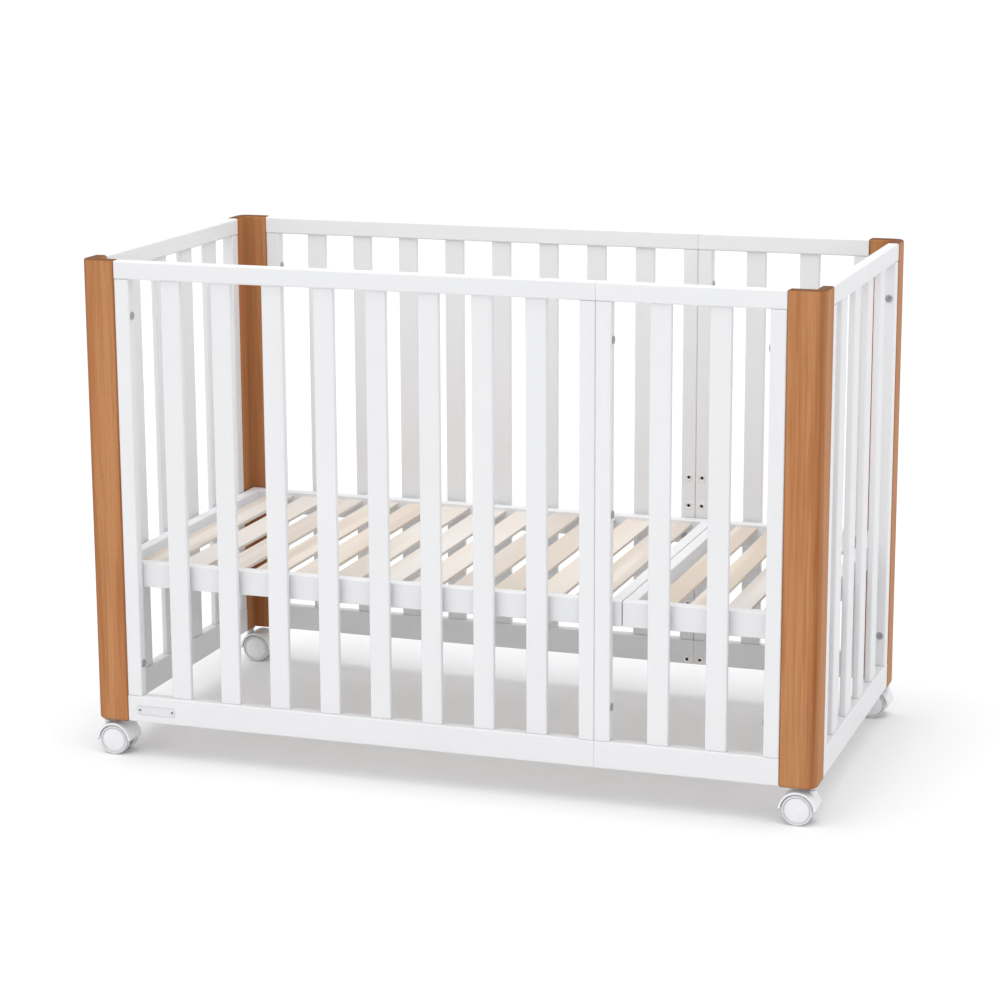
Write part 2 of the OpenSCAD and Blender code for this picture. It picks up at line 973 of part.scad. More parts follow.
module base_right_end_rails() {
    color(white)
        difference() {
            union() {
                base_end_rail(short_base_start + base_rail_width / 2);
                base_end_rail(base_end - base_rail_width / 2);
            }
            both([0, 1, 0])
                translate([short_base_start, link_bolt_offset, base_bolt_height])
                    rotate([0, 90, 0])
                        cylinder(r = bolt_hole, h = 2 * base_rail_width + cut_over,
                            center = true);
        }
}

module base_right_slats() {
    color(pine)
        base_slats(short_base_start, short_base_length, short_base_slat_count,
            short_base_slat_width);
}

module panel_bolts() {
    color(steel)
        corners()
            for (z = post_bolts) {
                translate([-side_start + stile_width, -panel_y, z])
                    rotate([0, 90, 0])
                        bolt(post_bolt_length);
                translate([-panel_x, -half_width + post_leg + stile_width, z])
                    rotate([-90, 0, 0])
                        bolt(post_bolt_length);
            }
}

module section_bolts() {
    color(steel)
        both([0, 1, 0])
            for (z = section_bolts_at)
                translate([split_offset + stile_width, -panel_y, z])
                    rotate([0, 90, 0])
                        bolt(section_bolt_length);
}

module base_bolts() {
    color(steel)
        both([0, 1, 0]) {
            for (x = [-outer_bolt_x, inner_bolt_x, outer_bolt_x])
                translate([x, -base_inner_y, base_bolt_height])
                    rotate([-90, 0, 0])
                        bolt(base_bolt_length);
            translate([short_base_start + base_rail_width, link_bolt_offset, base_bolt_height])
                rotate([0, 90, 0])
                    bolt(link_bolt_length);
        }
}

module sunk_inserts() {
    color(dark_steel) {
        corners()
            for (z = post_bolts) {
                translate([-side_start, -panel_y, z])
                    rotate([0, 90, 0])
                        sunk_insert();
                translate([-panel_x, -half_width + post_leg, z])
                    rotate([-90, 0, 0])
                        sunk_insert();
            }
        both([0, 1, 0]) {
            for (z = section_bolts_at)
                translate([split_offset, -panel_y, z])
                    rotate([0, 90, 0])
                        sunk_insert();
            translate([base_split, link_bolt_offset, base_bolt_height])
                rotate([0, 90, 0])
                    sunk_insert();
        }
    }
}

module flanged_inserts() {
    color(steel)
        both([0, 1, 0]) {
            for (x = [split_offset - insert_offset, split_offset + insert_offset])
                for (z = concat([rail_insert_height], stile_inserts))
                    translate([x, -panel_inner_y, z])
                        rotate([-90, 0, 0])
                            flanged_insert();
            for (x = [-outer_bolt_x, outer_bolt_x])
                translate([x, -panel_inner_y, base_bolt_height])
                    rotate([-90, 0, 0])
                        flanged_insert();
        }
}

module nameplate() {
    color(steel)
        translate([plate_x, -plate_back, plate_z])
            rotate([90, 0, 0])
                linear_extrude(height = plate_thickness)
                    difference() {
                        board_section(plate_length, plate_height, plate_round);
                        for (s = [-1, 1])
                            translate([s * (plate_length / 2 - rivet_inset), 0])
                                circle(r = rivet_radius + rivet_clearance);
                    }
}

module nameplate_rivets() {
    color(dark_steel)
        for (s = [-1, 1])
            translate([plate_x + s * (plate_length / 2 - rivet_inset), -plate_back, plate_z])
                rotate([90, 0, 0]) {
                    translate([0, 0, -rivet_depth])
                        cylinder(r = rivet_radius, h = rivet_depth + plate_thickness);
                    translate([0, 0, plate_thickness])
                        cylinder(r = rivet_head_radius, h = rivet_head);
                }
}

module caster_stems() {
    color(steel)
        corners()
            stem();
}

module caster_sockets() {
    color(dark_steel)
        corners()
            stem_socket();
}

module caster_front_left_hood() {
    color(plastic)
        at_caster()
            hood();
}

module caster_front_left_axle() {
    color(steel)
        at_caster()
            axle();
}

module caster_front_left_wheel_outer() {
    color(grey_plastic)
        at_caster()
            wheel();
}

module caster_front_left_wheel_inner() {
    color(grey_plastic)
        at_caster()
            mirror([0, 1, 0])
                wheel();
}

module caster_front_right_hood() {
    color(plastic)
        mirror([1, 0, 0])
            at_caster()
                hood();
}

module caster_front_right_axle() {
    color(steel)
        mirror([1, 0, 0])
            at_caster()
                axle();
}

module caster_front_right_wheel_outer() {
    color(grey_plastic)
        mirror([1, 0, 0])
            at_caster()
                wheel();
}

module caster_front_right_wheel_inner() {
    color(grey_plastic)
        mirror([1, 0, 0])
            at_caster()
                mirror([0, 1, 0])
                    wheel();
}

module caster_back_left_hood() {
    color(plastic)
        mirror([0, 1, 0])
            at_caster()
                hood();
}

module caster_back_left_axle() {
    color(steel)
        mirror([0, 1, 0])
            at_caster()
                axle();
}

module caster_back_left_wheel_outer() {
    color(grey_plastic)
        mirror([0, 1, 0])
            at_caster()
                wheel();
}

module caster_back_left_wheel_inner() {
    color(grey_plastic)
        mirror([0, 1, 0])
            at_caster()
                mirror([0, 1, 0])
                    wheel();
}

module caster_back_right_hood() {
    color(plastic)
        mirror([1, 0, 0])
            mirror([0, 1, 0])
                at_caster()
                    hood();
}

module caster_back_right_axle() {
    color(steel)
        mirror([1, 0, 0])
            mirror([0, 1, 0])
                at_caster()
                    axle();
}

module caster_back_right_wheel_outer() {
    color(grey_plastic)
        mirror([1, 0, 0])
            mirror([0, 1, 0])
                at_caster()
                    wheel();
}

module caster_back_right_wheel_inner() {
    color(grey_plastic)
        mirror([1, 0, 0])
            mirror([0, 1, 0])
                at_caster()
                    mirror([0, 1, 0])
                        wheel();
}

post_front_left();
post_front_right();
post_back_left();
post_back_right();
front_left_top_rail();
front_left_bottom_rail();
front_left_stiles();
front_left_slats();
front_right_top_rail();
front_right_bottom_rail();
front_right_stiles();
front_right_slats();
back_left_top_rail();
back_left_bottom_rail();
back_left_stiles();
back_left_slats();
back_right_top_rail();
back_right_bottom_rail();
back_right_stiles();
back_right_slats();
left_end_top_rail();
left_end_bottom_rail();
left_end_stiles();
left_end_slats();
right_end_top_rail();
right_end_bottom_rail();
right_end_stiles();
right_end_slats();
base_left_side_rails();
base_left_end_rails();
base_left_slats();
base_right_side_rails();
base_right_end_rails();
base_right_slats();
panel_bolts();
section_bolts();
base_bolts();
sunk_inserts();
flanged_inserts();
nameplate();
nameplate_rivets();
caster_stems();
caster_sockets();
caster_front_left_hood();
caster_front_left_axle();
caster_front_left_wheel_outer();
caster_front_left_wheel_inner();
caster_front_right_hood();
caster_front_right_axle();
caster_front_right_wheel_outer();
caster_front_right_wheel_inner();
caster_back_left_hood();
caster_back_left_axle();
caster_back_left_wheel_outer();
caster_back_left_wheel_inner();
caster_back_right_hood();
caster_back_right_axle();
caster_back_right_wheel_outer();
caster_back_right_wheel_inner();
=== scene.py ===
import math

import bmesh
import bpy
from bpy.props import FloatProperty, FloatVectorProperty, IntProperty, PointerProperty
from mathutils import Matrix, Vector


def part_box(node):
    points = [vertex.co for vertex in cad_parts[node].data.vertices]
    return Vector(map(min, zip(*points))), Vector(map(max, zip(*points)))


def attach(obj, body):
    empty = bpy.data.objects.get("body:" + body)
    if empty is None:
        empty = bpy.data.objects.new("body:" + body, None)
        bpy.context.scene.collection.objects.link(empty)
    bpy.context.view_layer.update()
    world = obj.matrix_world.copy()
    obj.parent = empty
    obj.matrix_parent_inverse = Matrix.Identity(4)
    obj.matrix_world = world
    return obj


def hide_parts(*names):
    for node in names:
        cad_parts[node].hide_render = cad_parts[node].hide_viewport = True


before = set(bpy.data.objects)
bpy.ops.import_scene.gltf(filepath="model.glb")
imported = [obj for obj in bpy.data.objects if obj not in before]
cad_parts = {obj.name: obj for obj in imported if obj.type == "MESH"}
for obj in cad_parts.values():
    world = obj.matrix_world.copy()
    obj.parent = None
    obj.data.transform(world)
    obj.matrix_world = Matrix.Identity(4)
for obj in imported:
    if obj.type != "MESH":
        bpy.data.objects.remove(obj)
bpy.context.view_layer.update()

bl_info = {
    "name": "Baby crib",
    "version": (1, 0, 0),
    "blender": (4, 5, 0),
    "location": "View3D > Sidebar > Crib",
    "description": "Slatted baby crib with stained corner posts, slatted base and casters",
    "category": "Object",
}

MM = 0.001
FRAME_BODY = "crib"
POST_THICKNESS = 20 * MM
CORNERS = ("front_left", "front_right", "back_left", "back_right")
SECTIONS = ("front_left", "front_right", "back_left", "back_right", "left_end", "right_end")

# Steps round the turned pieces.
SMALL_STEPS = 32
INSERT_STEPS = 28
BOLT_STEPS = 24
WHEEL_STEPS = 64

# Bolts and inserts.
HEAD_HEIGHT = 2.2 * MM
INSERT_FLANGE = 0.8 * MM
INSERT_BORE = 4.45 * MM
INSERT_DEPTH = 12.2 * MM
INSERT_REACH = 1 * MM

# Caster hoods.
WEB_THICKNESS = 12 * MM
STEM_BORE = 4.4 * MM
STEM_DEPTH = 32 * MM
STEM_OFFSET = 20 * MM
TOWER_TOP = 30 * MM

# Points nearer than these are one point: on a CAD piece, and on a turned seam.
SAME = 1e-6
SEAM = 1e-7
AXES = (Vector((1, 0, 0)), Vector((0, 1, 0)), Vector((0, 0, 1)))


# ---------------------------------------------------------------- settings


class WoodSettings(bpy.types.PropertyGroup):
    """Sizes of the wooden pieces."""

    post_corner: FloatProperty(
        name="Post corner", description="Rounding of the outer corner of a post",
        default=20 * MM, min=2 * MM, max=30 * MM, subtype="DISTANCE", unit="LENGTH")
    post_round: FloatProperty(
        name="Post edges", description="Rounding of the other edges of a post",
        default=3.6 * MM, min=0.5 * MM, max=6 * MM, subtype="DISTANCE", unit="LENGTH")
    board_round: FloatProperty(
        name="Board edges", description="Rounding of the long edges of rails and stiles",
        default=3 * MM, min=0.5 * MM, max=5 * MM, subtype="DISTANCE", unit="LENGTH")
    arris: FloatProperty(
        name="Arris", description="Broken edge at the ends of boards",
        default=1.0 * MM, min=0.1 * MM, max=2 * MM, subtype="DISTANCE", unit="LENGTH")
    base_round: FloatProperty(
        name="Base rail edges", description="Rounding of the edges of the base rails",
        default=2 * MM, min=0.5 * MM, max=4 * MM, subtype="DISTANCE", unit="LENGTH")
    slat_round: FloatProperty(
        name="Base slat edges", description="Rounding of the edges of the base slats",
        default=1.4 * MM, min=0.3 * MM, max=2.8 * MM, subtype="DISTANCE", unit="LENGTH")


class FinishSettings(bpy.types.PropertyGroup):
    """Colours of the finishes."""

    stain_light: FloatVectorProperty(
        name="Stain, light", description="Lighter tone of the stained posts",
        default=(0.493, 0.230, 0.098), size=3, min=0, max=1, subtype="COLOR")
    stain_dark: FloatVectorProperty(
        name="Stain, dark", description="Darker streaks of the stained posts",
        default=(0.315, 0.118, 0.042), size=3, min=0, max=1, subtype="COLOR")
    paint: FloatVectorProperty(
        name="Paint", description="White paint of the panels and the base frames",
        default=(0.765, 0.765, 0.773), size=3, min=0, max=1, subtype="COLOR")
    pine_light: FloatVectorProperty(
        name="Pine, light", description="Lighter tone of the base slats",
        default=(0.735, 0.690, 0.640), size=3, min=0, max=1, subtype="COLOR")
    pine_dark: FloatVectorProperty(
        name="Pine, dark", description="Darker grain of the base slats",
        default=(0.55, 0.475, 0.40), size=3, min=0, max=1, subtype="COLOR")
    plastic: FloatVectorProperty(
        name="Caster plastic", description="White plastic of the hoods and hub caps",
        default=(0.80, 0.80, 0.81), size=3, min=0, max=1, subtype="COLOR")
    tread: FloatVectorProperty(
        name="Wheel tread", description="Pale grey tread of the caster wheels",
        default=(0.66, 0.66, 0.665), size=3, min=0, max=1, subtype="COLOR")


class StageSettings(bpy.types.PropertyGroup):
    """Camera, floor and light."""

    camera_place: FloatVectorProperty(
        name="Camera place", description="Where the camera stands",
        default=(1.4692, -4.3554, 1.4504), size=3, subtype="TRANSLATION", unit="LENGTH")
    camera_turn: FloatProperty(
        name="Camera turn", description="Turn of the camera about the vertical",
        default=math.radians(18.7075), subtype="ANGLE", unit="ROTATION")
    camera_dip: FloatProperty(
        name="Camera dip", description="How far the camera looks down",
        default=math.radians(12.697), subtype="ANGLE", unit="ROTATION")
    camera_roll: FloatProperty(
        name="Camera roll", description="Tilt of the camera about its own axis",
        default=math.radians(-0.24), subtype="ANGLE", unit="ROTATION")
    lens: FloatProperty(
        name="Lens", description="Focal length in millimetres on a 36 mm sensor",
        default=99.11, min=10, max=300, subtype="NONE")
    sky: FloatProperty(
        name="Room light", description="Strength of the even light from all round",
        default=0.785, min=0, max=5)
    sky_side: FloatProperty(
        name="Room light, right", description="How much stronger the room light is towards +X",
        default=1.25, min=0, max=5)
    overhead: FloatProperty(
        name="Overhead light", description="Strength of the soft light above",
        default=1.25, min=0, max=20)
    front: FloatProperty(
        name="Front light", description="Strength of the soft light at the front",
        default=0.32, min=0, max=20)
    top: FloatProperty(
        name="Top light", description="Power of the soft panel over the crib, in watts",
        default=4.0, min=0, max=500)
    floor_half: IntProperty(
        name="Floor", description="Half the width of the floor in metres",
        default=60, min=2, max=200)


# ---------------------------------------------------------------- mesh helpers


def solids(node):
    """Boxes (low, high) of the separate solids of a CAD node, sorted by place."""
    shape = bmesh.new()
    shape.from_mesh(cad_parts[node].data)
    bmesh.ops.remove_doubles(shape, verts=shape.verts, dist=SAME)
    seen = set()
    boxes = []
    for first in shape.verts:
        if first in seen:
            continue
        seen.add(first)
        group = [first]
        for vert in group:
            for edge in vert.link_edges:
                other = edge.other_vert(vert)
                if other not in seen:
                    seen.add(other)
                    group.append(other)
        low = Vector(min(v.co[i] for v in group) for i in range(3))
        high = Vector(max(v.co[i] for v in group) for i in range(3))
        boxes.append((low, high))
    shape.free()
    boxes.sort(key=lambda box: [round(c, 4) for c in (box[0] + box[1]) / 2])
    return boxes


def longest(low, high):
    """Index of the longest side of a box."""
    size = high - low
    return max(range(3), key=lambda i: size[i])


def along(axis, flip=False):
    """Turn that takes +Z to an axis."""
    aim = -AXES[axis] if flip else AXES[axis]
    return aim.to_track_quat("Z", "Y" if axis != 1 else "X").to_matrix().to_4x4()


def pick(shape, test):
    """Edges of a shape whose direction and middle pass a test."""
    return [e for e in shape.edges
            if test((e.verts[1].co - e.verts[0].co).normalized(),
                    (e.verts[1].co + e.verts[0].co) / 2)]


def bevel(shape, edges, width, segments):
    """Rounds edges."""
    bmesh.ops.bevel(shape, geom=edges, offset=width, segments=segments, profile=0.5,
                    affect="EDGES", clamp_overlap=True)


def tag_surface(shape, origin, grain_axis, shift, tone):
    """Stores grain place, edge and tone on a shape's points; the grain runs along grain_axis."""
    grain = shape.verts.layers.float_vector.get("grain_place")
    edge = shape.verts.layers.float.get("rounded_edge")
    shade = shape.verts.layers.float.get("board_tone")
    order = ((1, 2, 0), (2, 0, 1), (0, 1, 2))[grain_axis]
    shape.normal_update()
    for vert in shape.verts:
        place = vert.co - origin
        vert[grain] = Vector(place[i] for i in order) + shift
        slope = max(abs(c) for c in vert.normal)
        # Mask of the rounded edges, 1 where the normal leans far from the axes; the beech finish
        # paints shade with it.
        vert[edge] = min(1.0, (1 - slope) / 0.29)
        vert[shade] = tone


def new_shape():
    """Empty shape with the layers the finishes read."""
    shape = bmesh.new()
    shape.verts.layers.float_vector.new("grain_place")
    shape.verts.layers.float.new("rounded_edge")
    shape.verts.layers.float.new("board_tone")
    return shape


def in_mm(points):
    """Points given in millimetres, as metres."""
    return [(x * MM, y * MM) for x, y in points]


def join_into(shape, part):
    """Moves a finished part into a larger shape."""
    mesh = bpy.data.meshes.new("part")
    part.to_mesh(mesh)
    part.free()
    shape.from_mesh(mesh)
    bpy.data.meshes.remove(mesh)


def spread(seed, place):
    """Even number from 0 to 1 that depends only on its arguments."""
    value = math.sin(seed * 12.9898 + place.x * 78.233 + place.y * 37.719 + place.z * 9.151)
    return (value * 43758.5453) % 1.0


def grain_shift(place):
    """Moves the grain, so that no two boards show the same part of it."""
    return Vector((spread(1, place), spread(2, place), spread(3, place) * 3))


def add_board(shape, low, high, width, arris):
    """Adds a board with rounded long edges and broken ends, grain along its length."""
    part = new_shape()
    bmesh.ops.create_cube(part, size=1.0)
    size = high - low
    middle = (low + high) / 2
    for vert in part.verts:
        vert.co = Vector(vert.co[i] * size[i] for i in range(3)) + middle
    axis = longest(low, high)
    bevel(part, pick(part, lambda d, m: abs(d[axis]) > 0.9), width, 4)
    bevel(part, pick(part, lambda d, m: abs(d[axis]) < 0.1), arris, 2)
    tag_surface(part, middle, axis, grain_shift(middle), spread(4, middle))
    join_into(shape, part)


def ring(part, radius, height, steps):
    """Ring of points round +Z, or one point where the radius is zero."""
    if radius <= 0:
        return [part.verts.new((0, 0, height))]
    turns = [2 * math.pi * i / steps for i in range(steps)]
    return [part.verts.new((radius * math.cos(t), radius * math.sin(t), height)) for t in turns]


def join_rings(part, rings, steps):
    """Faces between each ring and the next."""
    for low, high in zip(rings, rings[1:]):
        for i in range(steps):
            corners = [low[i % len(low)], low[(i + 1) % len(low)],
                       high[(i + 1) % len(high)], high[i % len(high)]]
            part.faces.new([v for k, v in enumerate(corners) if v not in corners[:k]])


def add_turned(shape, profile, place, steps=SMALL_STEPS):
    """Adds a turned shape: profile is (radius, height) in metres, from one end to the other."""
    part = new_shape()
    join_rings(part, [ring(part, radius, height, steps) for radius, height in profile], steps)
    bmesh.ops.remove_doubles(part, verts=part.verts, dist=SEAM)
    bmesh.ops.transform(part, matrix=place, verts=part.verts)
    bmesh.ops.recalc_face_normals(part, faces=part.faces)
    middle = place.to_translation()
    tag_surface(part, middle, 2, Vector((spread(1, middle), spread(2, middle), 0)),
                spread(4, middle))
    join_into(shape, part)


def add_swept(shape, profile, start, end, steps, place):
    """Adds a closed (radius, height) profile swept round +Z from start to end, with end faces."""
    part = new_shape()
    rings = []
    for i in range(steps + 1):
        turn = start + (end - start) * i / steps
        rings.append([part.verts.new((radius * math.cos(turn), radius * math.sin(turn), height))
                      for radius, height in profile])
    count = len(profile)
    for first, second in zip(rings, rings[1:]):
        for i in range(count):
            k = (i + 1) % count
            part.faces.new((first[i], first[k], second[k], second[i]))
    part.faces.new(rings[0])
    part.faces.new(rings[-1][::-1])
    bmesh.ops.transform(part, matrix=place, verts=part.verts)
    bmesh.ops.recalc_face_normals(part, faces=part.faces)
    tag_surface(part, place.to_translation(), 2, Vector(), 0.5)
    join_into(shape, part)


def raise_outline(part, outline, foot, height):
    """Makes a solid from an outline at the height foot."""
    face = part.faces.new([part.verts.new((x, y, foot)) for x, y in outline])
    made = bmesh.ops.extrude_face_region(part, geom=[face])
    moved = [g for g in made["geom"] if isinstance(g, bmesh.types.BMVert)]
    bmesh.ops.translate(part, vec=(0, 0, height), verts=moved)
    bmesh.ops.recalc_face_normals(part, faces=part.faces)


def add_plate(shape, outline, thickness, place, width):
    """Adds a flat plate from an outline, z from 0 to thickness, with its rims rounded."""
    part = new_shape()
    raise_outline(part, outline, 0, thickness)
    bevel(part, pick(part, lambda d, m: abs(d.z) < 0.1), width, 2)
    bmesh.ops.transform(part, matrix=place, verts=part.verts)
    bmesh.ops.recalc_face_normals(part, faces=part.faces)
    tag_surface(part, place.to_translation(), 2, Vector(), 0.5)
    join_into(shape, part)


def bore(piece, holes):
    """Cuts round holes (place, radius, depth) into a piece; a hole runs down from its place."""
    cutter_shape = bmesh.new()
    for place, radius, depth in holes:
        bmesh.ops.create_cone(cutter_shape, cap_ends=True, segments=BOLT_STEPS, radius1=radius,
                              radius2=radius, depth=2 * depth, matrix=place)
    bmesh.ops.recalc_face_normals(cutter_shape, faces=cutter_shape.faces)
    mesh = bpy.data.meshes.new("cutter")
    cutter_shape.to_mesh(mesh)
    cutter_shape.free()
    cutter = bpy.data.objects.new("cutter", mesh)
    bpy.context.scene.collection.objects.link(cutter)
    cut = piece.modifiers.new("Bores", "BOOLEAN")
    cut.operation = "DIFFERENCE"
    cut.solver = "EXACT"
    cut.use_self = True
    cut.object = cutter
    bpy.context.view_layer.update()
    result = bpy.data.meshes.new_from_object(
        piece.evaluated_get(bpy.context.evaluated_depsgraph_get()))
    piece.modifiers.clear()
    old = piece.data
    piece.data = result
    bpy.data.meshes.remove(old)
    bpy.data.objects.remove(cutter)
    bpy.data.meshes.remove(mesh)


def make_piece(name, shape, coat, body, stands_for):
    """Makes the object, smooths it, hangs it on the body it rides on and hides the CAD nodes it
    stands for.
    """
    mesh = bpy.data.meshes.new(name)
    shape.to_mesh(mesh)
    shape.free()
    for polygon in mesh.polygons:
        polygon.use_smooth = True
    mesh.materials.append(coat)
    piece = bpy.data.objects.new(name, mesh)
    bpy.context.scene.collection.objects.link(piece)
    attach(piece, body)
    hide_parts(*stands_for)
    return piece


def even_shading(piece):
    """Keeps flats flat beside rounded edges."""
    weigh = piece.modifiers.new("Even shading", "WEIGHTED_NORMAL")
    weigh.weight = 80
    weigh.keep_sharp = True
    return piece


# ---------------------------------------------------------------- finishes


class Finish:
    """Small helper that builds a node material around one Principled shader."""

    def __init__(self, name, **constants):
        self.material = bpy.data.materials.new(name)
        self.material.use_nodes = True
        self.tree = self.material.node_tree
        self.tree.nodes.clear()
        self.shader = self.tree.nodes.new("ShaderNodeBsdfPrincipled")
        output = self.tree.nodes.new("ShaderNodeOutputMaterial")
        self.tree.links.new(self.shader.outputs["BSDF"], output.inputs["Surface"])
        for socket, value in constants.items():
            self.shader.inputs[socket.replace("_", " ")].default_value = value

    def add(self, kind, settings=None, **sockets):
        """Adds a node; sockets may be values or outputs of other nodes."""
        node = self.tree.nodes.new(kind)
        for key, value in (settings or {}).items():
            setattr(node, key, value)
        for key, value in sockets.items():
            self.put(node.inputs[key.replace("_", " ")], value)
        return node

    def put(self, socket, value):
        """Links an output to a socket, or sets the socket's value."""
        if isinstance(value, bpy.types.NodeSocket):
            self.tree.links.new(value, socket)
        else:
            socket.default_value = value

    def place(self, source, scale):
        """Vector along the grain, or in the piece's own space, times a scale."""
        if source == "object":
            start = self.add("ShaderNodeTexCoord").outputs["Object"]
        else:
            start = self.add("ShaderNodeAttribute",
                             {"attribute_name": source}).outputs["Vector"]
        node = self.add("ShaderNodeVectorMath", {"operation": "MULTIPLY"})
        self.put(node.inputs[0], start)
        node.inputs[1].default_value = scale
        return node.outputs["Vector"]

    def noise(self, vector, detail=3.0, roughness=0.5, distortion=0.0):
        """Cloudy pattern from 0 to 1."""
        return self.add("ShaderNodeTexNoise", Vector=vector, Scale=1.0, Detail=detail,
                        Roughness=roughness, Distortion=distortion).outputs["Fac"]

    def ramp(self, factor, stops):
        """Colour ramp; stops are (place, colour)."""
        node = self.add("ShaderNodeValToRGB", Fac=factor)
        bar = node.color_ramp.elements
        while len(bar) < len(stops):
            bar.new(0.5)
        for element, (place, colour) in zip(bar, stops):
            element.position = place
            value = colour if isinstance(colour, tuple) else (colour,) * 3
            element.color = (*value[:3], 1)
        return node.outputs["Color"]

    def blend(self, factor, first, second, kind="MIX"):
        """Mixes two colours."""
        node = self.add("ShaderNodeMix", {"data_type": "RGBA", "blend_type": kind})
        for index, value in ((0, factor), (6, first), (7, second)):
            if isinstance(value, tuple):
                value = (*value[:3], 1)
            self.put(node.inputs[index], value)
        return node.outputs[2]

    def sum(self, kind, first, second):
        """One step of arithmetic."""
        node = self.add("ShaderNodeMath", {"operation": kind})
        self.put(node.inputs[0], first)
        self.put(node.inputs[1], second)
        return node.outputs[0]

    def span(self, value, low, high):
        """Maps 0..1 to low..high."""
        node = self.add("ShaderNodeMapRange", Value=value)
        node.inputs["To Min"].default_value = low
        node.inputs["To Max"].default_value = high
        return node.outputs["Result"]

    def attribute(self, name):
        """Number stored on the points of the piece."""
        return self.add("ShaderNodeAttribute", {"attribute_name": name}).outputs["Fac"]

    def bump(self, height, strength, distance):
        """Adds relief on top of any relief already there."""
        node = self.add("ShaderNodeBump", Height=height, Strength=strength, Distance=distance)
        old = self.shader.inputs["Normal"]
        if old.is_linked:
            self.tree.links.new(old.links[0].from_socket, node.inputs["Normal"])
        self.tree.links.new(node.outputs["Normal"], old)


def tuple3(value):
    """Plain tuple of a colour."""
    return tuple(value)[:3]


def stained_beech(look):
    """Orange-brown stained beech: long streaks, fine fibres, short dark flecks, painted shade on
    the rounded corner and edges, satin lacquer.
    """
    f = Finish("Stained beech", Specular_IOR_Level=0.05)
    streak = f.noise(f.place("grain_place", (45, 45, 2.0)), 4.0, 0.55, 0.4)
    band = f.noise(f.place("grain_place", (190, 190, 4.5)), 3.0, 0.6, 0.2)
    fibre = f.noise(f.place("grain_place", (1500, 1500, 45)), 2.0, 0.6)
    fleck = f.noise(f.place("grain_place", (900, 900, 170)), 1.0, 0.5)
    light, dark = tuple3(look.stain_light), tuple3(look.stain_dark)
    red = (light[0] * 0.93, light[1] * 0.74, light[2] * 0.66)
    pale = (light[0] * 1.08, light[1] * 1.14, light[2] * 1.22)
    colour = f.ramp(streak, [(0.30, red), (0.47, light), (0.70, pale)])
    colour = f.blend(f.ramp(band, [(0.36, 0.5), (0.56, 0.0)]), colour, dark)
    colour = f.blend(f.ramp(fleck, [(0.63, 0.0), (0.72, 0.42)]), colour, dark)
    colour = f.blend(0.16, colour, f.ramp(fibre, [(0.3, dark), (0.7, light)]))
    # Painted shade: the rounded outer corner and rounded edges of the posts are darkened towards
    # brown, standing in for the shade that falls on the rounding.
    edge_darkening = f.sum("MULTIPLY", f.attribute("rounded_edge"), 0.75)
    colour = f.blend(edge_darkening, colour, (0.62, 0.50, 0.42), "MULTIPLY")
    facing = f.add("ShaderNodeSeparateXYZ")
    f.put(facing.inputs[0], f.add("ShaderNodeTexCoord").outputs["Normal"])
    end_grain = f.ramp(f.sum("ABSOLUTE", facing.outputs["Z"], 0.0), [(0.55, 0.0), (0.92, 0.9)])
    colour = f.blend(end_grain, colour, tuple(c * 0.42 for c in dark))
    f.put(f.shader.inputs["Base Color"], colour)
    f.put(f.shader.inputs["Roughness"], f.span(band, 0.42, 0.56))
    f.bump(fibre, 0.10, 0.0004)
    f.bump(fleck, 0.06, 0.0003)
    return f.material


def white_paint(look):
    """Satin white paint on wood: faint grain, slight orange peel, slightly darker and warmer on
    the rounded edges.
    """
    f = Finish("White satin paint", Coat_Weight=0.05, Coat_Roughness=0.3)
    grain = f.noise(f.place("grain_place", (420, 420, 9)), 3.0, 0.6)
    cloud = f.noise(f.place("grain_place", (14, 14, 5)), 2.0, 0.5)
    peel = f.noise(f.place("grain_place", (900, 900, 700)), 1.0, 0.5)
    paint = tuple3(look.paint)
    colour = f.ramp(cloud, [(0.35, tuple(c * 0.982 for c in paint)), (0.65, paint)])
    # Slightly darker and warmer towards the rounded edges, more so where the grain noise is high.
    edge_darkening = f.sum("MULTIPLY", f.attribute("rounded_edge"), f.span(grain, 0.05, 0.16))
    colour = f.blend(edge_darkening, colour, (0.74, 0.72, 0.69))
    tone = f.ramp(f.attribute("board_tone"), [(0.0, (0.985, 0.985, 0.985)), (1.0, (1, 1, 1))])
    colour = f.blend(1.0, colour, tone, "MULTIPLY")
    f.put(f.shader.inputs["Base Color"], colour)
    f.put(f.shader.inputs["Roughness"], f.span(peel, 0.36, 0.48))
    f.bump(grain, 0.05, 0.0003)
    f.bump(peel, 0.035, 0.0002)
    return f.material


def bare_pine(look):
    """Bare sanded pine: pinkish beige, wide growth rings, each board a little different."""
    f = Finish("Bare pine", Specular_IOR_Level=0.35)
    warp = f.noise(f.place("grain_place", (16, 16, 1.6)), 2.0, 0.5, 0.6)
    rings = f.add("ShaderNodeTexWave", {"wave_type": "BANDS", "bands_direction": "X"},
                  Vector=f.place("grain_place", (1, 0.4, 0.02)), Scale=55.0, Distortion=5.0,
                  Detail=2.0, Detail_Scale=0.7).outputs["Fac"]
    fibre = f.noise(f.place("grain_place", (1300, 1300, 30)), 2.0, 0.6)
    light, dark = tuple3(look.pine_light), tuple3(look.pine_dark)
    warm = (light[0] * 0.97, light[1] * 0.93, light[2] * 0.88)
    colour = f.ramp(warp, [(0.3, warm), (0.6, light)])
    colour = f.blend(f.ramp(rings, [(0.50, 0.0), (0.90, 0.60)]), colour, dark)
    colour = f.blend(f.ramp(fibre, [(0.35, 0.14), (0.6, 0.0)]), colour, dark)
    tone = f.ramp(f.attribute("board_tone"), [
        (0.0, (0.90, 0.86, 0.82)), (0.4, (1.0, 0.97, 0.94)), (0.7, (0.97, 0.98, 1.0)),
        (1.0, (1, 1, 1))])
    colour = f.blend(1.0, colour, tone, "MULTIPLY")
    f.put(f.shader.inputs["Base Color"], colour)
    f.put(f.shader.inputs["Roughness"], f.span(rings, 0.62, 0.74))
    f.bump(fibre, 0.12, 0.0004)
    f.bump(rings, 0.05, 0.0004)
    return f.material


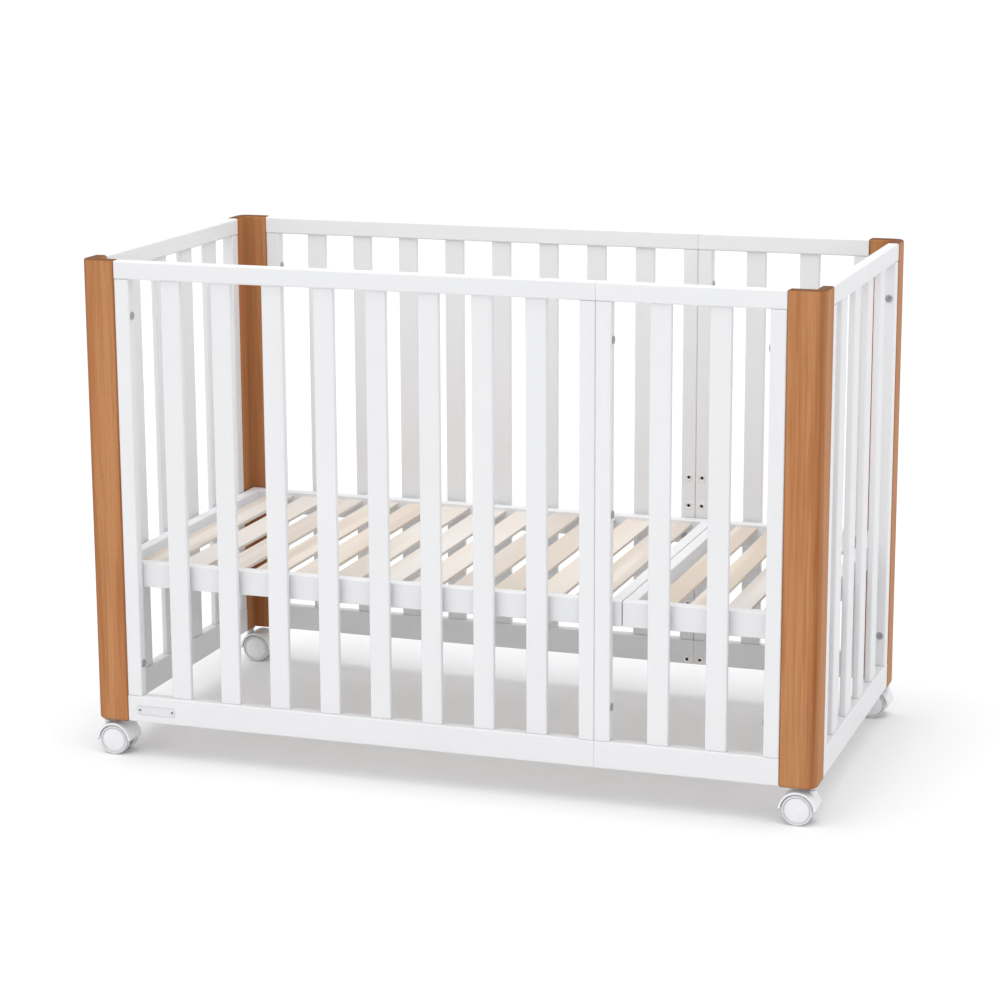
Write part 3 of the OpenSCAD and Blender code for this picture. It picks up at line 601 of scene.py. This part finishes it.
def plated_steel(name, colour, roughness, speckle=500):
    """Plated steel with fine turning marks and slight clouding."""
    f = Finish(name, Metallic=1.0)
    cloud = f.noise(f.place("object", (130, 130, 130)), 3.0, 0.6)
    mark = f.noise(f.place("object", (speckle * 6, speckle * 6, speckle)), 2.0, 0.5)
    f.put(f.shader.inputs["Base Color"],
          f.ramp(cloud, [(0.3, tuple(c * 0.84 for c in colour)), (0.7, colour)]))
    f.put(f.shader.inputs["Roughness"], f.span(cloud, roughness - 0.06, roughness + 0.08))
    f.bump(mark, 0.05, 0.0001)
    return f.material


def moulded_plastic(name, colour, roughness):
    """Moulded plastic with a faint texture and slight clouding."""
    f = Finish(name, Subsurface_Weight=0.04, Subsurface_Scale=0.003)
    cloud = f.noise(f.place("object", (60, 60, 60)), 2.0, 0.5)
    skin = f.noise(f.place("object", (1600, 1600, 1600)), 1.0, 0.5)
    f.put(f.shader.inputs["Base Color"],
          f.ramp(cloud, [(0.3, tuple(c * 0.96 for c in colour)), (0.7, colour)]))
    f.put(f.shader.inputs["Roughness"], f.span(skin, roughness - 0.04, roughness + 0.06))
    f.bump(skin, 0.04, 0.0001)
    return f.material


def brushed_plate():
    """Brushed aluminium of the nameplate, brushed along X."""
    f = Finish("Brushed plate", Metallic=0.7)
    brush = f.noise(f.place("object", (60, 3000, 3000)), 2.0, 0.6)
    f.put(f.shader.inputs["Base Color"],
          f.ramp(brush, [(0.3, (0.68, 0.68, 0.70)), (0.7, (0.76, 0.76, 0.78))]))
    f.put(f.shader.inputs["Roughness"], f.span(brush, 0.30, 0.44))
    f.bump(brush, 0.10, 0.0001)
    return f.material


def floor_finish():
    """Plain pale matt floor."""
    f = Finish("Studio floor", Roughness=0.9, Specular_IOR_Level=0.1)
    cloud = f.noise(f.place("object", (0.7, 0.7, 0.7)), 2.0, 0.5)
    f.put(f.shader.inputs["Base Color"], f.ramp(cloud, [(0.3, 0.875), (0.7, 0.88)]))
    return f.material


FINISHES = {}


def finish(name):
    """Makes a finish on first use and shares it afterwards."""
    look = bpy.context.scene.crib_finish
    makers = {
        "beech": lambda: stained_beech(look),
        "paint": lambda: white_paint(look),
        "pine": lambda: bare_pine(look),
        "bolt": lambda: plated_steel("Plated bolt steel", (0.42, 0.42, 0.44), 0.32),
        "insert": lambda: plated_steel("Plated insert steel", (0.90, 0.89, 0.87), 0.40),
        "stem": lambda: plated_steel("Turned stem steel", (0.66, 0.66, 0.68), 0.24, 900),
        "axle": lambda: plated_steel("Ground axle steel", (0.60, 0.60, 0.62), 0.22, 900),
        "rivet": lambda: plated_steel("Dark rivet metal", (0.20, 0.20, 0.21), 0.42),
        "plate": brushed_plate,
        "plastic": lambda: moulded_plastic("White caster plastic", tuple3(look.plastic), 0.34),
        "tread": lambda: moulded_plastic("Pale grey tread", tuple3(look.tread), 0.52),
        "floor": floor_finish,
    }
    if name not in FINISHES:
        FINISHES[name] = makers[name]()
    return FINISHES[name]


# ---------------------------------------------------------------- wooden pieces


def post_shape(node, corner, rounding):
    """L-shaped post with one large rounded outer corner and small roundings elsewhere."""
    low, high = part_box(node)
    thick = POST_THICKNESS
    sign = Vector((1 if low.x < 0 else -1, 1 if low.y < 0 else -1))
    outer = Vector((low.x if sign.x > 0 else high.x, low.y if sign.y > 0 else high.y))
    leg = high.x - low.x
    part = new_shape()
    outline = [(0, 0), (leg, 0), (leg, thick), (thick, thick), (thick, leg), (0, leg)]
    raise_outline(part, outline, low.z, high.z - low.z)
    bevel(part, pick(part, lambda d, m: abs(d.z) > 0.9 and max(m.x, m.y) < SAME), corner, 12)
    ends = pick(part, lambda d, m: abs(d.z) < 0.1)
    tips = pick(part, lambda d, m: abs(d.z) > 0.9 and max(m.x, m.y) > leg - SAME)
    bevel(part, ends + tips, rounding, 4)
    for vert in part.verts:
        vert.co = Vector((outer.x + sign.x * vert.co.x, outer.y + sign.y * vert.co.y, vert.co.z))
    if sign.x * sign.y < 0:
        bmesh.ops.reverse_faces(part, faces=part.faces)
    middle = Vector((outer.x, outer.y, 0))
    tag_surface(part, middle, 2, grain_shift(middle), spread(4, middle))
    return part


class CRIB_OT_posts(bpy.types.Operator):
    """Four stained L-shaped corner posts"""

    bl_idname = "crib.posts"
    bl_label = "Corner posts"

    def execute(self, context):
        wood = context.scene.crib_wood
        for corner in CORNERS:
            node = "post_" + corner
            shape = post_shape(node, wood.post_corner, wood.post_round)
            even_shading(make_piece(node + "_wood", shape, finish("beech"),
                                    FRAME_BODY, [node]))
        return {"FINISHED"}


class CRIB_OT_rails(bpy.types.Operator):
    """Top and bottom rails of the six panel sections"""

    bl_idname = "crib.rails"
    bl_label = "Panel rails"

    def execute(self, context):
        wood = context.scene.crib_wood
        for section in SECTIONS:
            for kind in ("top_rail", "bottom_rail"):
                node = f"{section}_{kind}"
                low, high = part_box(node)
                shape = new_shape()
                add_board(shape, low, high, wood.board_round, wood.arris)
                piece = make_piece(node + "_board", shape, finish("paint"),
                                   FRAME_BODY, [node])
                bore_inserts(piece, low, high)
                even_shading(piece)
        return {"FINISHED"}


def insert_places():
    """Places of the flanged inserts, with +Z out of the wood."""
    places = []
    for low, high in solids("flanged_inserts"):
        middle = (low + high) / 2
        front = middle.y < 0
        mouth = Vector((middle.x, high.y - INSERT_FLANGE if front else low.y + INSERT_FLANGE,
                        middle.z))
        places.append(Matrix.Translation(mouth) @ along(1, flip=not front))
    return places


def bore_inserts(piece, low, high):
    """Bores a board for the flanged inserts that sit in it."""
    holes = []
    for place in insert_places():
        spot = place.to_translation()
        if all(low[i] - INSERT_REACH < spot[i] < high[i] + INSERT_REACH for i in range(3)):
            holes.append((place, INSERT_BORE, INSERT_DEPTH))
    if holes:
        bore(piece, holes)


class CRIB_OT_stiles(bpy.types.Operator):
    """Upright stiles at the ends of the panel sections"""

    bl_idname = "crib.stiles"
    bl_label = "Panel stiles"

    def execute(self, context):
        wood = context.scene.crib_wood
        for section in SECTIONS:
            node = section + "_stiles"
            shape = new_shape()
            for low, high in standing_boxes(section, node):
                add_board(shape, low, high, wood.board_round, wood.arris)
            piece = make_piece(node + "_boards", shape, finish("paint"),
                               FRAME_BODY, [node])
            bore_inserts(piece, *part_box(node))
            even_shading(piece)
        return {"FINISHED"}


def standing_boxes(section, node):
    """Boxes of the upright boards of a section, cut to stand between its rails."""
    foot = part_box(section + "_bottom_rail")[1].z
    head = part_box(section + "_top_rail")[0].z
    return [(Vector((low.x, low.y, foot)), Vector((high.x, high.y, head)))
            for low, high in solids(node)]


class CRIB_OT_slats(bpy.types.Operator):
    """Upright slats of the sides and ends"""

    bl_idname = "crib.slats"
    bl_label = "Panel slats"

    def execute(self, context):
        wood = context.scene.crib_wood
        for section in SECTIONS:
            node = section + "_slats"
            shape = new_shape()
            for low, high in standing_boxes(section, node):
                add_board(shape, low, high, wood.board_round, wood.arris)
            even_shading(make_piece(node + "_boards", shape, finish("paint"),
                                    FRAME_BODY, [node]))
        return {"FINISHED"}


class CRIB_OT_base(bpy.types.Operator):
    """Two slatted frames that carry the mattress"""

    bl_idname = "crib.base"
    bl_label = "Mattress base"

    def execute(self, context):
        wood = context.scene.crib_wood
        for half in ("base_left", "base_right"):
            sides = solids(half + "_side_rails")
            inner = max(high.y for low, high in sides if high.y < 0)
            for kind in ("side_rails", "end_rails"):
                node = f"{half}_{kind}"
                shape = new_shape()
                for low, high in solids(node):
                    if kind == "end_rails":
                        low, high = Vector((low.x, inner, low.z)), Vector((high.x, -inner, high.z))
                    add_board(shape, low, high, wood.base_round, wood.arris)
                even_shading(make_piece(node + "_boards", shape, finish("paint"),
                                        FRAME_BODY, [node]))
            node = half + "_slats"
            shape = new_shape()
            for low, high in solids(node):
                add_board(shape, low, high, wood.slat_round, wood.arris)
            even_shading(make_piece(node + "_boards", shape, finish("pine"),
                                    FRAME_BODY, [node]))
        return {"FINISHED"}


# ---------------------------------------------------------------- fastenings


def add_bolt(shape, place, length):
    """Adds a bolt: head above z = 0, shank of a length in mm below, hexagon socket in the head."""
    head = [(0, -length), (2.6, -length), (2.95, -length + 0.4), (2.95, 0), (6.1, 0), (6.5, 0.35),
            (6.5, 1.15), (6.3, 1.65), (5.8, 2.0), (4.9, 2.2), (3.1, 2.2), (2.75, 2.05)]
    part = bmesh.new()
    rings = [ring(part, radius, height, BOLT_STEPS) for radius, height in in_mm(head)]
    for height in (2.0 * MM, 0.65 * MM):
        socket = []
        for i in range(BOLT_STEPS):
            turn = 2 * math.pi * i / BOLT_STEPS
            radius = 2.0 * MM / math.cos(turn % (math.pi / 3) - math.pi / 6)
            socket.append(part.verts.new((radius * math.cos(turn), radius * math.sin(turn),
                                          height)))
        rings.append(socket)
    rings.append(ring(part, 0, 0.45 * MM, BOLT_STEPS))
    join_rings(part, rings, BOLT_STEPS)
    bmesh.ops.transform(part, matrix=place, verts=part.verts)
    bmesh.ops.recalc_face_normals(part, faces=part.faces)
    join_into(shape, part)


class CRIB_OT_bolts(bpy.types.Operator):
    """Bolts of the panels, the sections and the base"""

    bl_idname = "crib.bolts"
    bl_label = "Bolts"

    def execute(self, context):
        for node in ("panel_bolts", "section_bolts", "base_bolts"):
            shape = new_shape()
            for low, high in solids(node):
                axis = longest(low, high)
                middle = (low + high) / 2
                link = axis == 0 and node != "panel_bolts"
                flip = middle[axis] > 0 and not link
                mouth = middle.copy()
                mouth[axis] = low[axis] + HEAD_HEIGHT if flip else high[axis] - HEAD_HEIGHT
                place = Matrix.Translation(mouth) @ along(axis, flip)
                add_bolt(shape, place, (high[axis] - low[axis] - HEAD_HEIGHT) / MM)
            even_shading(make_piece(node + "_turned", shape, finish("bolt"),
                                    FRAME_BODY, [node]))
        return {"FINISHED"}


class CRIB_OT_inserts(bpy.types.Operator):
    """Flanged threaded inserts, and the finish of the sunk ones"""

    bl_idname = "crib.inserts"
    bl_label = "Inserts"

    def execute(self, context):
        shape = new_shape()
        profile = [(4.3, -11.5), (4.4, -11), (4.4, -0.02), (6.4, -0.02), (6.75, 0.15), (6.7, 0.5),
                   (6.3, 0.75), (5.6, 0.8), (3.9, 0.78), (3.3, 0.45), (3.0, 0.1)]
        for turn in range(11):
            profile += [(2.62, -0.3 - turn), (3.0, -0.8 - turn)]
        profile += [(2.6, -11.3), (4.3, -11.5)]
        for place in insert_places():
            add_turned(shape, in_mm(profile), place, INSERT_STEPS)
        even_shading(make_piece("flanged_inserts_turned", shape, finish("insert"),
                                FRAME_BODY, ["flanged_inserts"]))
        paint_node("sunk_inserts", "insert")
        return {"FINISHED"}


def paint_node(node, name):
    """Gives a CAD node that stays in view its finish."""
    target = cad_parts[node]
    target.data.materials.clear()
    target.data.materials.append(finish(name))


def rounded_outline(length, height, radius, steps=8):
    """Outline of a rounded rectangle."""
    points = []
    for turn, sx, sy in ((0, 1, 1), (90, -1, 1), (180, -1, -1), (270, 1, -1)):
        for i in range(steps + 1):
            angle = math.radians(turn + 90 * i / steps)
            points.append((sx * (length / 2 - radius) + radius * math.cos(angle),
                           sy * (height / 2 - radius) + radius * math.sin(angle)))
    return points


class CRIB_OT_nameplate(bpy.types.Operator):
    """Blank metal nameplate with a raised rim and two domed rivets"""

    bl_idname = "crib.nameplate"
    bl_label = "Nameplate"

    def execute(self, context):
        low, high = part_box("nameplate")
        size, middle = high - low, (low + high) / 2
        facing = Matrix.Translation((middle.x, high.y, middle.z)) @ Matrix.Rotation(
            math.pi / 2, 4, "X")
        shape = new_shape()
        corner = 3 * MM
        add_plate(shape, rounded_outline(size.x, size.z, corner), size.y * 0.7, facing,
                  0.12 * MM)
        rim = 1.1 * MM
        outer, inner = (
            rounded_outline(size.x - 2 * inset, size.z - 2 * inset, corner - inset)
            for inset in (0.6 * MM, 0.6 * MM + rim))
        add_rim(shape, outer, inner, size.y * 0.65, size.y, facing)
        even_shading(make_piece("nameplate_pressed", shape, finish("plate"),
                                FRAME_BODY, ["nameplate"]))
        shape = new_shape()
        profile = [(0, -6), (1.2, -6), (1.2, -0.4), (2.0, -0.4), (2.0, -0.25), (1.75, -0.1),
                   (1.2, -0.03), (0.6, 0), (0, 0)]
        for rivet_low, rivet_high in solids("nameplate_rivets"):
            centre = (rivet_low + rivet_high) / 2
            place = Matrix.Translation((centre.x, rivet_low.y, centre.z)) @ Matrix.Rotation(
                math.pi / 2, 4, "X")
            add_turned(shape, in_mm(profile), place, BOLT_STEPS)
        even_shading(make_piece("nameplate_rivets_domed", shape, finish("rivet"),
                                FRAME_BODY, ["nameplate_rivets"]))
        return {"FINISHED"}


def add_rim(shape, outer, inner, floor, top, place):
    """Adds a raised rim between two outlines."""
    part = new_shape()
    middle = [((a + c) / 2, (b + d) / 2) for (a, b), (c, d) in zip(outer, inner)]
    rings = [[part.verts.new((x, y, z)) for x, y in line]
             for line, z in ((outer, floor), (middle, top), (inner, floor))]
    count = len(outer)
    for first, second in zip(rings, rings[1:] + rings[:1]):
        for i in range(count):
            k = (i + 1) % count
            part.faces.new((first[i], first[k], second[k], second[i]))
    bmesh.ops.transform(part, matrix=place, verts=part.verts)
    bmesh.ops.recalc_face_normals(part, faces=part.faces)
    tag_surface(part, Vector(), 2, Vector(), 0.5)
    join_into(shape, part)


# ---------------------------------------------------------------- casters


def axle_place(corner):
    """Frame at a caster's axle: +Z along the axle away from the crib, +X towards the stem."""
    low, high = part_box(f"caster_{corner}_axle")
    middle = (low + high) / 2
    side = -1 if middle.y < 0 else 1
    stem = -1 if middle.x < 0 else 1
    basis = Matrix(((stem, 0, 0), (0, 0, side), (0, 1, 0)))
    return Matrix.Translation(middle) @ basis.to_4x4()


def arc(radius, start, end, steps):
    """Points on an arc, angles in degrees."""
    return [(radius * math.cos(math.radians(start + (end - start) * i / steps)),
             radius * math.sin(math.radians(start + (end - start) * i / steps)))
            for i in range(steps + 1)]


class CRIB_OT_hoods(bpy.types.Operator):
    """Caster hoods with their web, boss and socket tower"""

    bl_idname = "crib.hoods"
    bl_label = "Caster hoods"

    def execute(self, context):
        inner, outer, half, lip = 26.5, 30.0, 24.0, 0.9
        shell = [(inner + 0.3, -half), (outer - lip, -half), (outer - 0.25, -half + 0.25),
                 (outer, -half + lip), (outer, half - lip), (outer - 0.25, half - 0.25),
                 (outer - lip, half), (inner + 0.3, half), (inner, half - 0.3),
                 (inner, -half + 0.3)]
        web = arc(28.2, 0, 180, 32) + arc(9.0, 180, 360, 16)
        tower = [(0, -6), (5.6, -6), (6.6, -5.6), (7, -4.8), (7, 28.6), (6.7, 29.5), (6.0, 30),
                 (0, 30)]
        boss = [(3.1, -7.2), (6.5, -7.2), (7.4, -6.6), (7.6, -5.5), (7.6, 5.5), (7.4, 6.6),
                (6.5, 7.2), (3.1, 7.2), (3.1, -7.2)]
        for corner in CORNERS:
            place = axle_place(corner)
            shape = new_shape()
            add_swept(shape, in_mm(shell), 0, math.pi, 40, place)
            add_plate(shape, in_mm(web), WEB_THICKNESS,
                      place @ Matrix.Translation((0, 0, -WEB_THICKNESS / 2)), 0.7 * MM)
            add_turned(shape, in_mm(boss), place)
            stand = place @ Matrix.Translation((STEM_OFFSET, 0, 0)) @ Matrix.Rotation(
                -math.pi / 2, 4, "X")
            add_turned(shape, in_mm(tower), stand)
            node = f"caster_{corner}_hood"
            piece = make_piece(node + "_moulded", shape, finish("plastic"),
                               "caster_" + corner, [node])
            mouth = stand @ Matrix.Translation((0, 0, TOWER_TOP))
            bore(piece, [(mouth, STEM_BORE, STEM_DEPTH)])
            even_shading(piece)
            paint_node(f"caster_{corner}_axle", "axle")
        return {"FINISHED"}


class CRIB_OT_wheels(bpy.types.Operator):
    """Caster wheels with pale grey treads and white domed hub caps"""

    bl_idname = "crib.wheels"
    bl_label = "Caster wheels"

    def execute(self, context):
        tread = [(20.2, 8.3), (22.8, 8.0), (24.0, 8.35), (24.75, 9.2), (25, 10.4), (25, 14.6),
                 (24.85, 15.0), (24.85, 15.4), (25, 15.8), (25, 21.4), (24.8, 22.6),
                 (24.2, 23.5), (23.3, 23.9), (22.4, 23.85), (21.9, 23.4), (21.7, 22.5),
                 (20.2, 22.3)]
        cap = [(0, 20), (3.1, 20), (3.1, 8.2), (7.5, 8.2), (7.8, 9.6), (18.4, 9.8),
               (19.0, 8.6), (20.3, 8.4), (20.6, 9.0), (20.6, 22.0), (20.2, 22.5),
               (19.7, 22.6), (19.45, 22.3), (19.2, 22.25), (18.95, 22.5), (18.7, 22.85),
               (17.5, 23.15), (15, 23.45), (12, 23.68), (9, 23.82), (6, 23.92), (3, 23.98),
               (0, 24)]
        for corner in CORNERS:
            for side, turn in (("outer", 0), ("inner", math.pi)):
                node = f"caster_{corner}_wheel_{side}"
                body = f"caster_{corner}_{side}_wheel"
                place = axle_place(corner) @ Matrix.Rotation(turn, 4, "X")
                shape = new_shape()
                add_turned(shape, in_mm(tread + tread[:1]), place, WHEEL_STEPS)
                even_shading(make_piece(node + "_tread", shape, finish("tread"),
                                        body, [node]))
                shape = new_shape()
                add_turned(shape, in_mm(cap), place, WHEEL_STEPS)
                even_shading(make_piece(node + "_cap", shape, finish("plastic"),
                                        body, [node]))
        return {"FINISHED"}


class CRIB_OT_stems(bpy.types.Operator):
    """Caster stems with their collars, and the flanged sockets under the posts"""

    bl_idname = "crib.stems"
    bl_label = "Caster stems"

    def execute(self, context):
        stem_shape, socket_shape = new_shape(), new_shape()
        for low, high in solids("caster_stems"):
            middle = (low + high) / 2
            place = Matrix.Translation((middle.x, middle.y, 0))
            top, foot = high.z / MM, low.z / MM
            stem = [(0, foot), (3.4, foot), (4.0, foot + 0.7), (4.0, 55.4), (6.1, 55.4),
                    (6.5, 55.8), (6.5, 57.0), (6.1, 57.25), (6.1, 57.45), (6.5, 57.7),
                    (6.5, 58.7), (6.2, 59.0), (4.0, 59.0), (4.0, top - 0.7), (3.4, top), (0, top)]
            add_turned(stem_shape, in_mm(stem), place)
        for low, high in solids("caster_sockets"):
            middle = (low + high) / 2
            place = Matrix.Translation((middle.x, middle.y, 0))
            top = high.z / MM
            socket = [(4.2, 59.0), (8.3, 59.0), (8.8, 59.3), (9.0, 59.8), (9.0, 61.0),
                      (5.5, 61.0), (5.5, top - 0.5), (5.1, top), (4.2, top), (4.2, 59.0)]
            add_turned(socket_shape, in_mm(socket), place)
        even_shading(make_piece("caster_stems_turned", stem_shape, finish("stem"),
                                FRAME_BODY, ["caster_stems"]))
        even_shading(make_piece("caster_sockets_pressed", socket_shape, finish("insert"),
                                FRAME_BODY, ["caster_sockets"]))
        return {"FINISHED"}


# ---------------------------------------------------------------- stage


def soft_light(name, strength, spread_angle, towards):
    """Adds a wide soft light that shines evenly from one side."""
    data = bpy.data.lights.new(name, "SUN")
    data.energy = strength
    data.angle = math.radians(spread_angle)
    light = bpy.data.objects.new(name, data)
    light.rotation_mode = "QUATERNION"
    light.rotation_quaternion = Vector(towards).to_track_quat("Z", "Y")
    bpy.context.scene.collection.objects.link(light)


class CRIB_OT_stage(bpy.types.Operator):
    """Camera, pale floor and soft studio light"""

    bl_idname = "crib.stage"
    bl_label = "Stage"

    def execute(self, context):
        scene = context.scene
        stage = scene.crib_stage
        turn, dip, roll = stage.camera_turn, stage.camera_dip, stage.camera_roll
        right = Vector((math.cos(turn), math.sin(turn), 0))
        back = Vector((math.sin(turn) * math.cos(dip), -math.cos(turn) * math.cos(dip),
                       math.sin(dip)))
        up = back.cross(right)
        side = right * math.cos(roll) + up * math.sin(roll)
        top = up * math.cos(roll) - right * math.sin(roll)
        data = bpy.data.cameras.new("Camera")
        data.lens = stage.lens
        data.sensor_width = 36.0
        data.clip_end = 300.0
        camera = bpy.data.objects.new("Camera", data)
        scene.collection.objects.link(camera)
        pose = Matrix((side, top, back)).transposed().to_4x4()
        pose.translation = Vector(stage.camera_place)
        camera.matrix_world = pose
        scene.camera = camera

        half = stage.floor_half
        mesh = bpy.data.meshes.new("floor")
        mesh.from_pydata([(-half, -half, 0), (half, -half, 0), (half, half, 0), (-half, half, 0)],
                         [], [(0, 1, 2, 3)])
        mesh.materials.append(finish("floor"))
        floor = bpy.data.objects.new("floor", mesh)
        scene.collection.objects.link(floor)

        soft_light("Overhead", stage.overhead, spread_angle=75, towards=(-0.04, -0.13, 1.0))
        soft_light("Front", stage.front, spread_angle=50, towards=(-0.30, -0.9, 0.45))
        data = bpy.data.lights.new("Top", "AREA")
        data.energy = stage.top
        data.size = 1.0
        panel = bpy.data.objects.new("Top", data)
        panel.location = (-0.05, -0.1, 1.8)
        scene.collection.objects.link(panel)
        world = bpy.data.worlds.new("Room")
        world.use_nodes = True
        sky = world.node_tree.nodes["Background"]
        sky.inputs["Color"].default_value = (0.97, 0.98, 1, 1)
        nodes, links = world.node_tree.nodes, world.node_tree.links
        parts = nodes.new("ShaderNodeSeparateXYZ")
        links.new(nodes.new("ShaderNodeTexCoord").outputs["Generated"], parts.inputs[0])
        rise = nodes.new("ShaderNodeMapRange")
        rise.inputs["From Min"].default_value = 0.1
        rise.inputs["To Min"].default_value = stage.sky
        rise.inputs["To Max"].default_value = stage.sky * stage.sky_side
        links.new(parts.outputs["X"], rise.inputs["Value"])
        links.new(rise.outputs["Result"], sky.inputs["Strength"])
        scene.world = world
        scene.view_settings.view_transform = "Standard"
        return {"FINISHED"}


class CRIB_PT_panel(bpy.types.Panel):
    """Lists the pieces of the crib"""

    bl_idname = "CRIB_PT_panel"
    bl_label = "Baby crib"
    bl_space_type = "VIEW_3D"
    bl_region_type = "UI"
    bl_category = "Crib"

    def draw(self, context):
        for operator in OPERATORS:
            self.layout.operator(operator.bl_idname)
        for settings in (context.scene.crib_wood, context.scene.crib_finish,
                         context.scene.crib_stage):
            box = self.layout.box()
            for name in settings.__annotations__:
                box.prop(settings, name)


OPERATORS = (CRIB_OT_posts, CRIB_OT_rails, CRIB_OT_stiles, CRIB_OT_slats, CRIB_OT_base,
             CRIB_OT_bolts, CRIB_OT_inserts, CRIB_OT_nameplate, CRIB_OT_hoods, CRIB_OT_wheels,
             CRIB_OT_stems, CRIB_OT_stage)
CLASSES = (WoodSettings, FinishSettings, StageSettings, *OPERATORS, CRIB_PT_panel)


def register():
    """Registers the classes and the scene's settings."""
    for item in CLASSES:
        bpy.utils.register_class(item)
    bpy.types.Scene.crib_wood = PointerProperty(type=WoodSettings)
    bpy.types.Scene.crib_finish = PointerProperty(type=FinishSettings)
    bpy.types.Scene.crib_stage = PointerProperty(type=StageSettings)


def unregister():
    """Removes them again."""
    del bpy.types.Scene.crib_stage
    del bpy.types.Scene.crib_finish
    del bpy.types.Scene.crib_wood
    for item in reversed(CLASSES):
        bpy.utils.unregister_class(item)


def main():
    """Builds the crib and its stage."""
    register()
    for operator in OPERATORS:
        group, name = operator.bl_idname.split(".")
        getattr(getattr(bpy.ops, group), name)()
    bpy.context.view_layer.update()


if __name__ == "__main__":
    main()
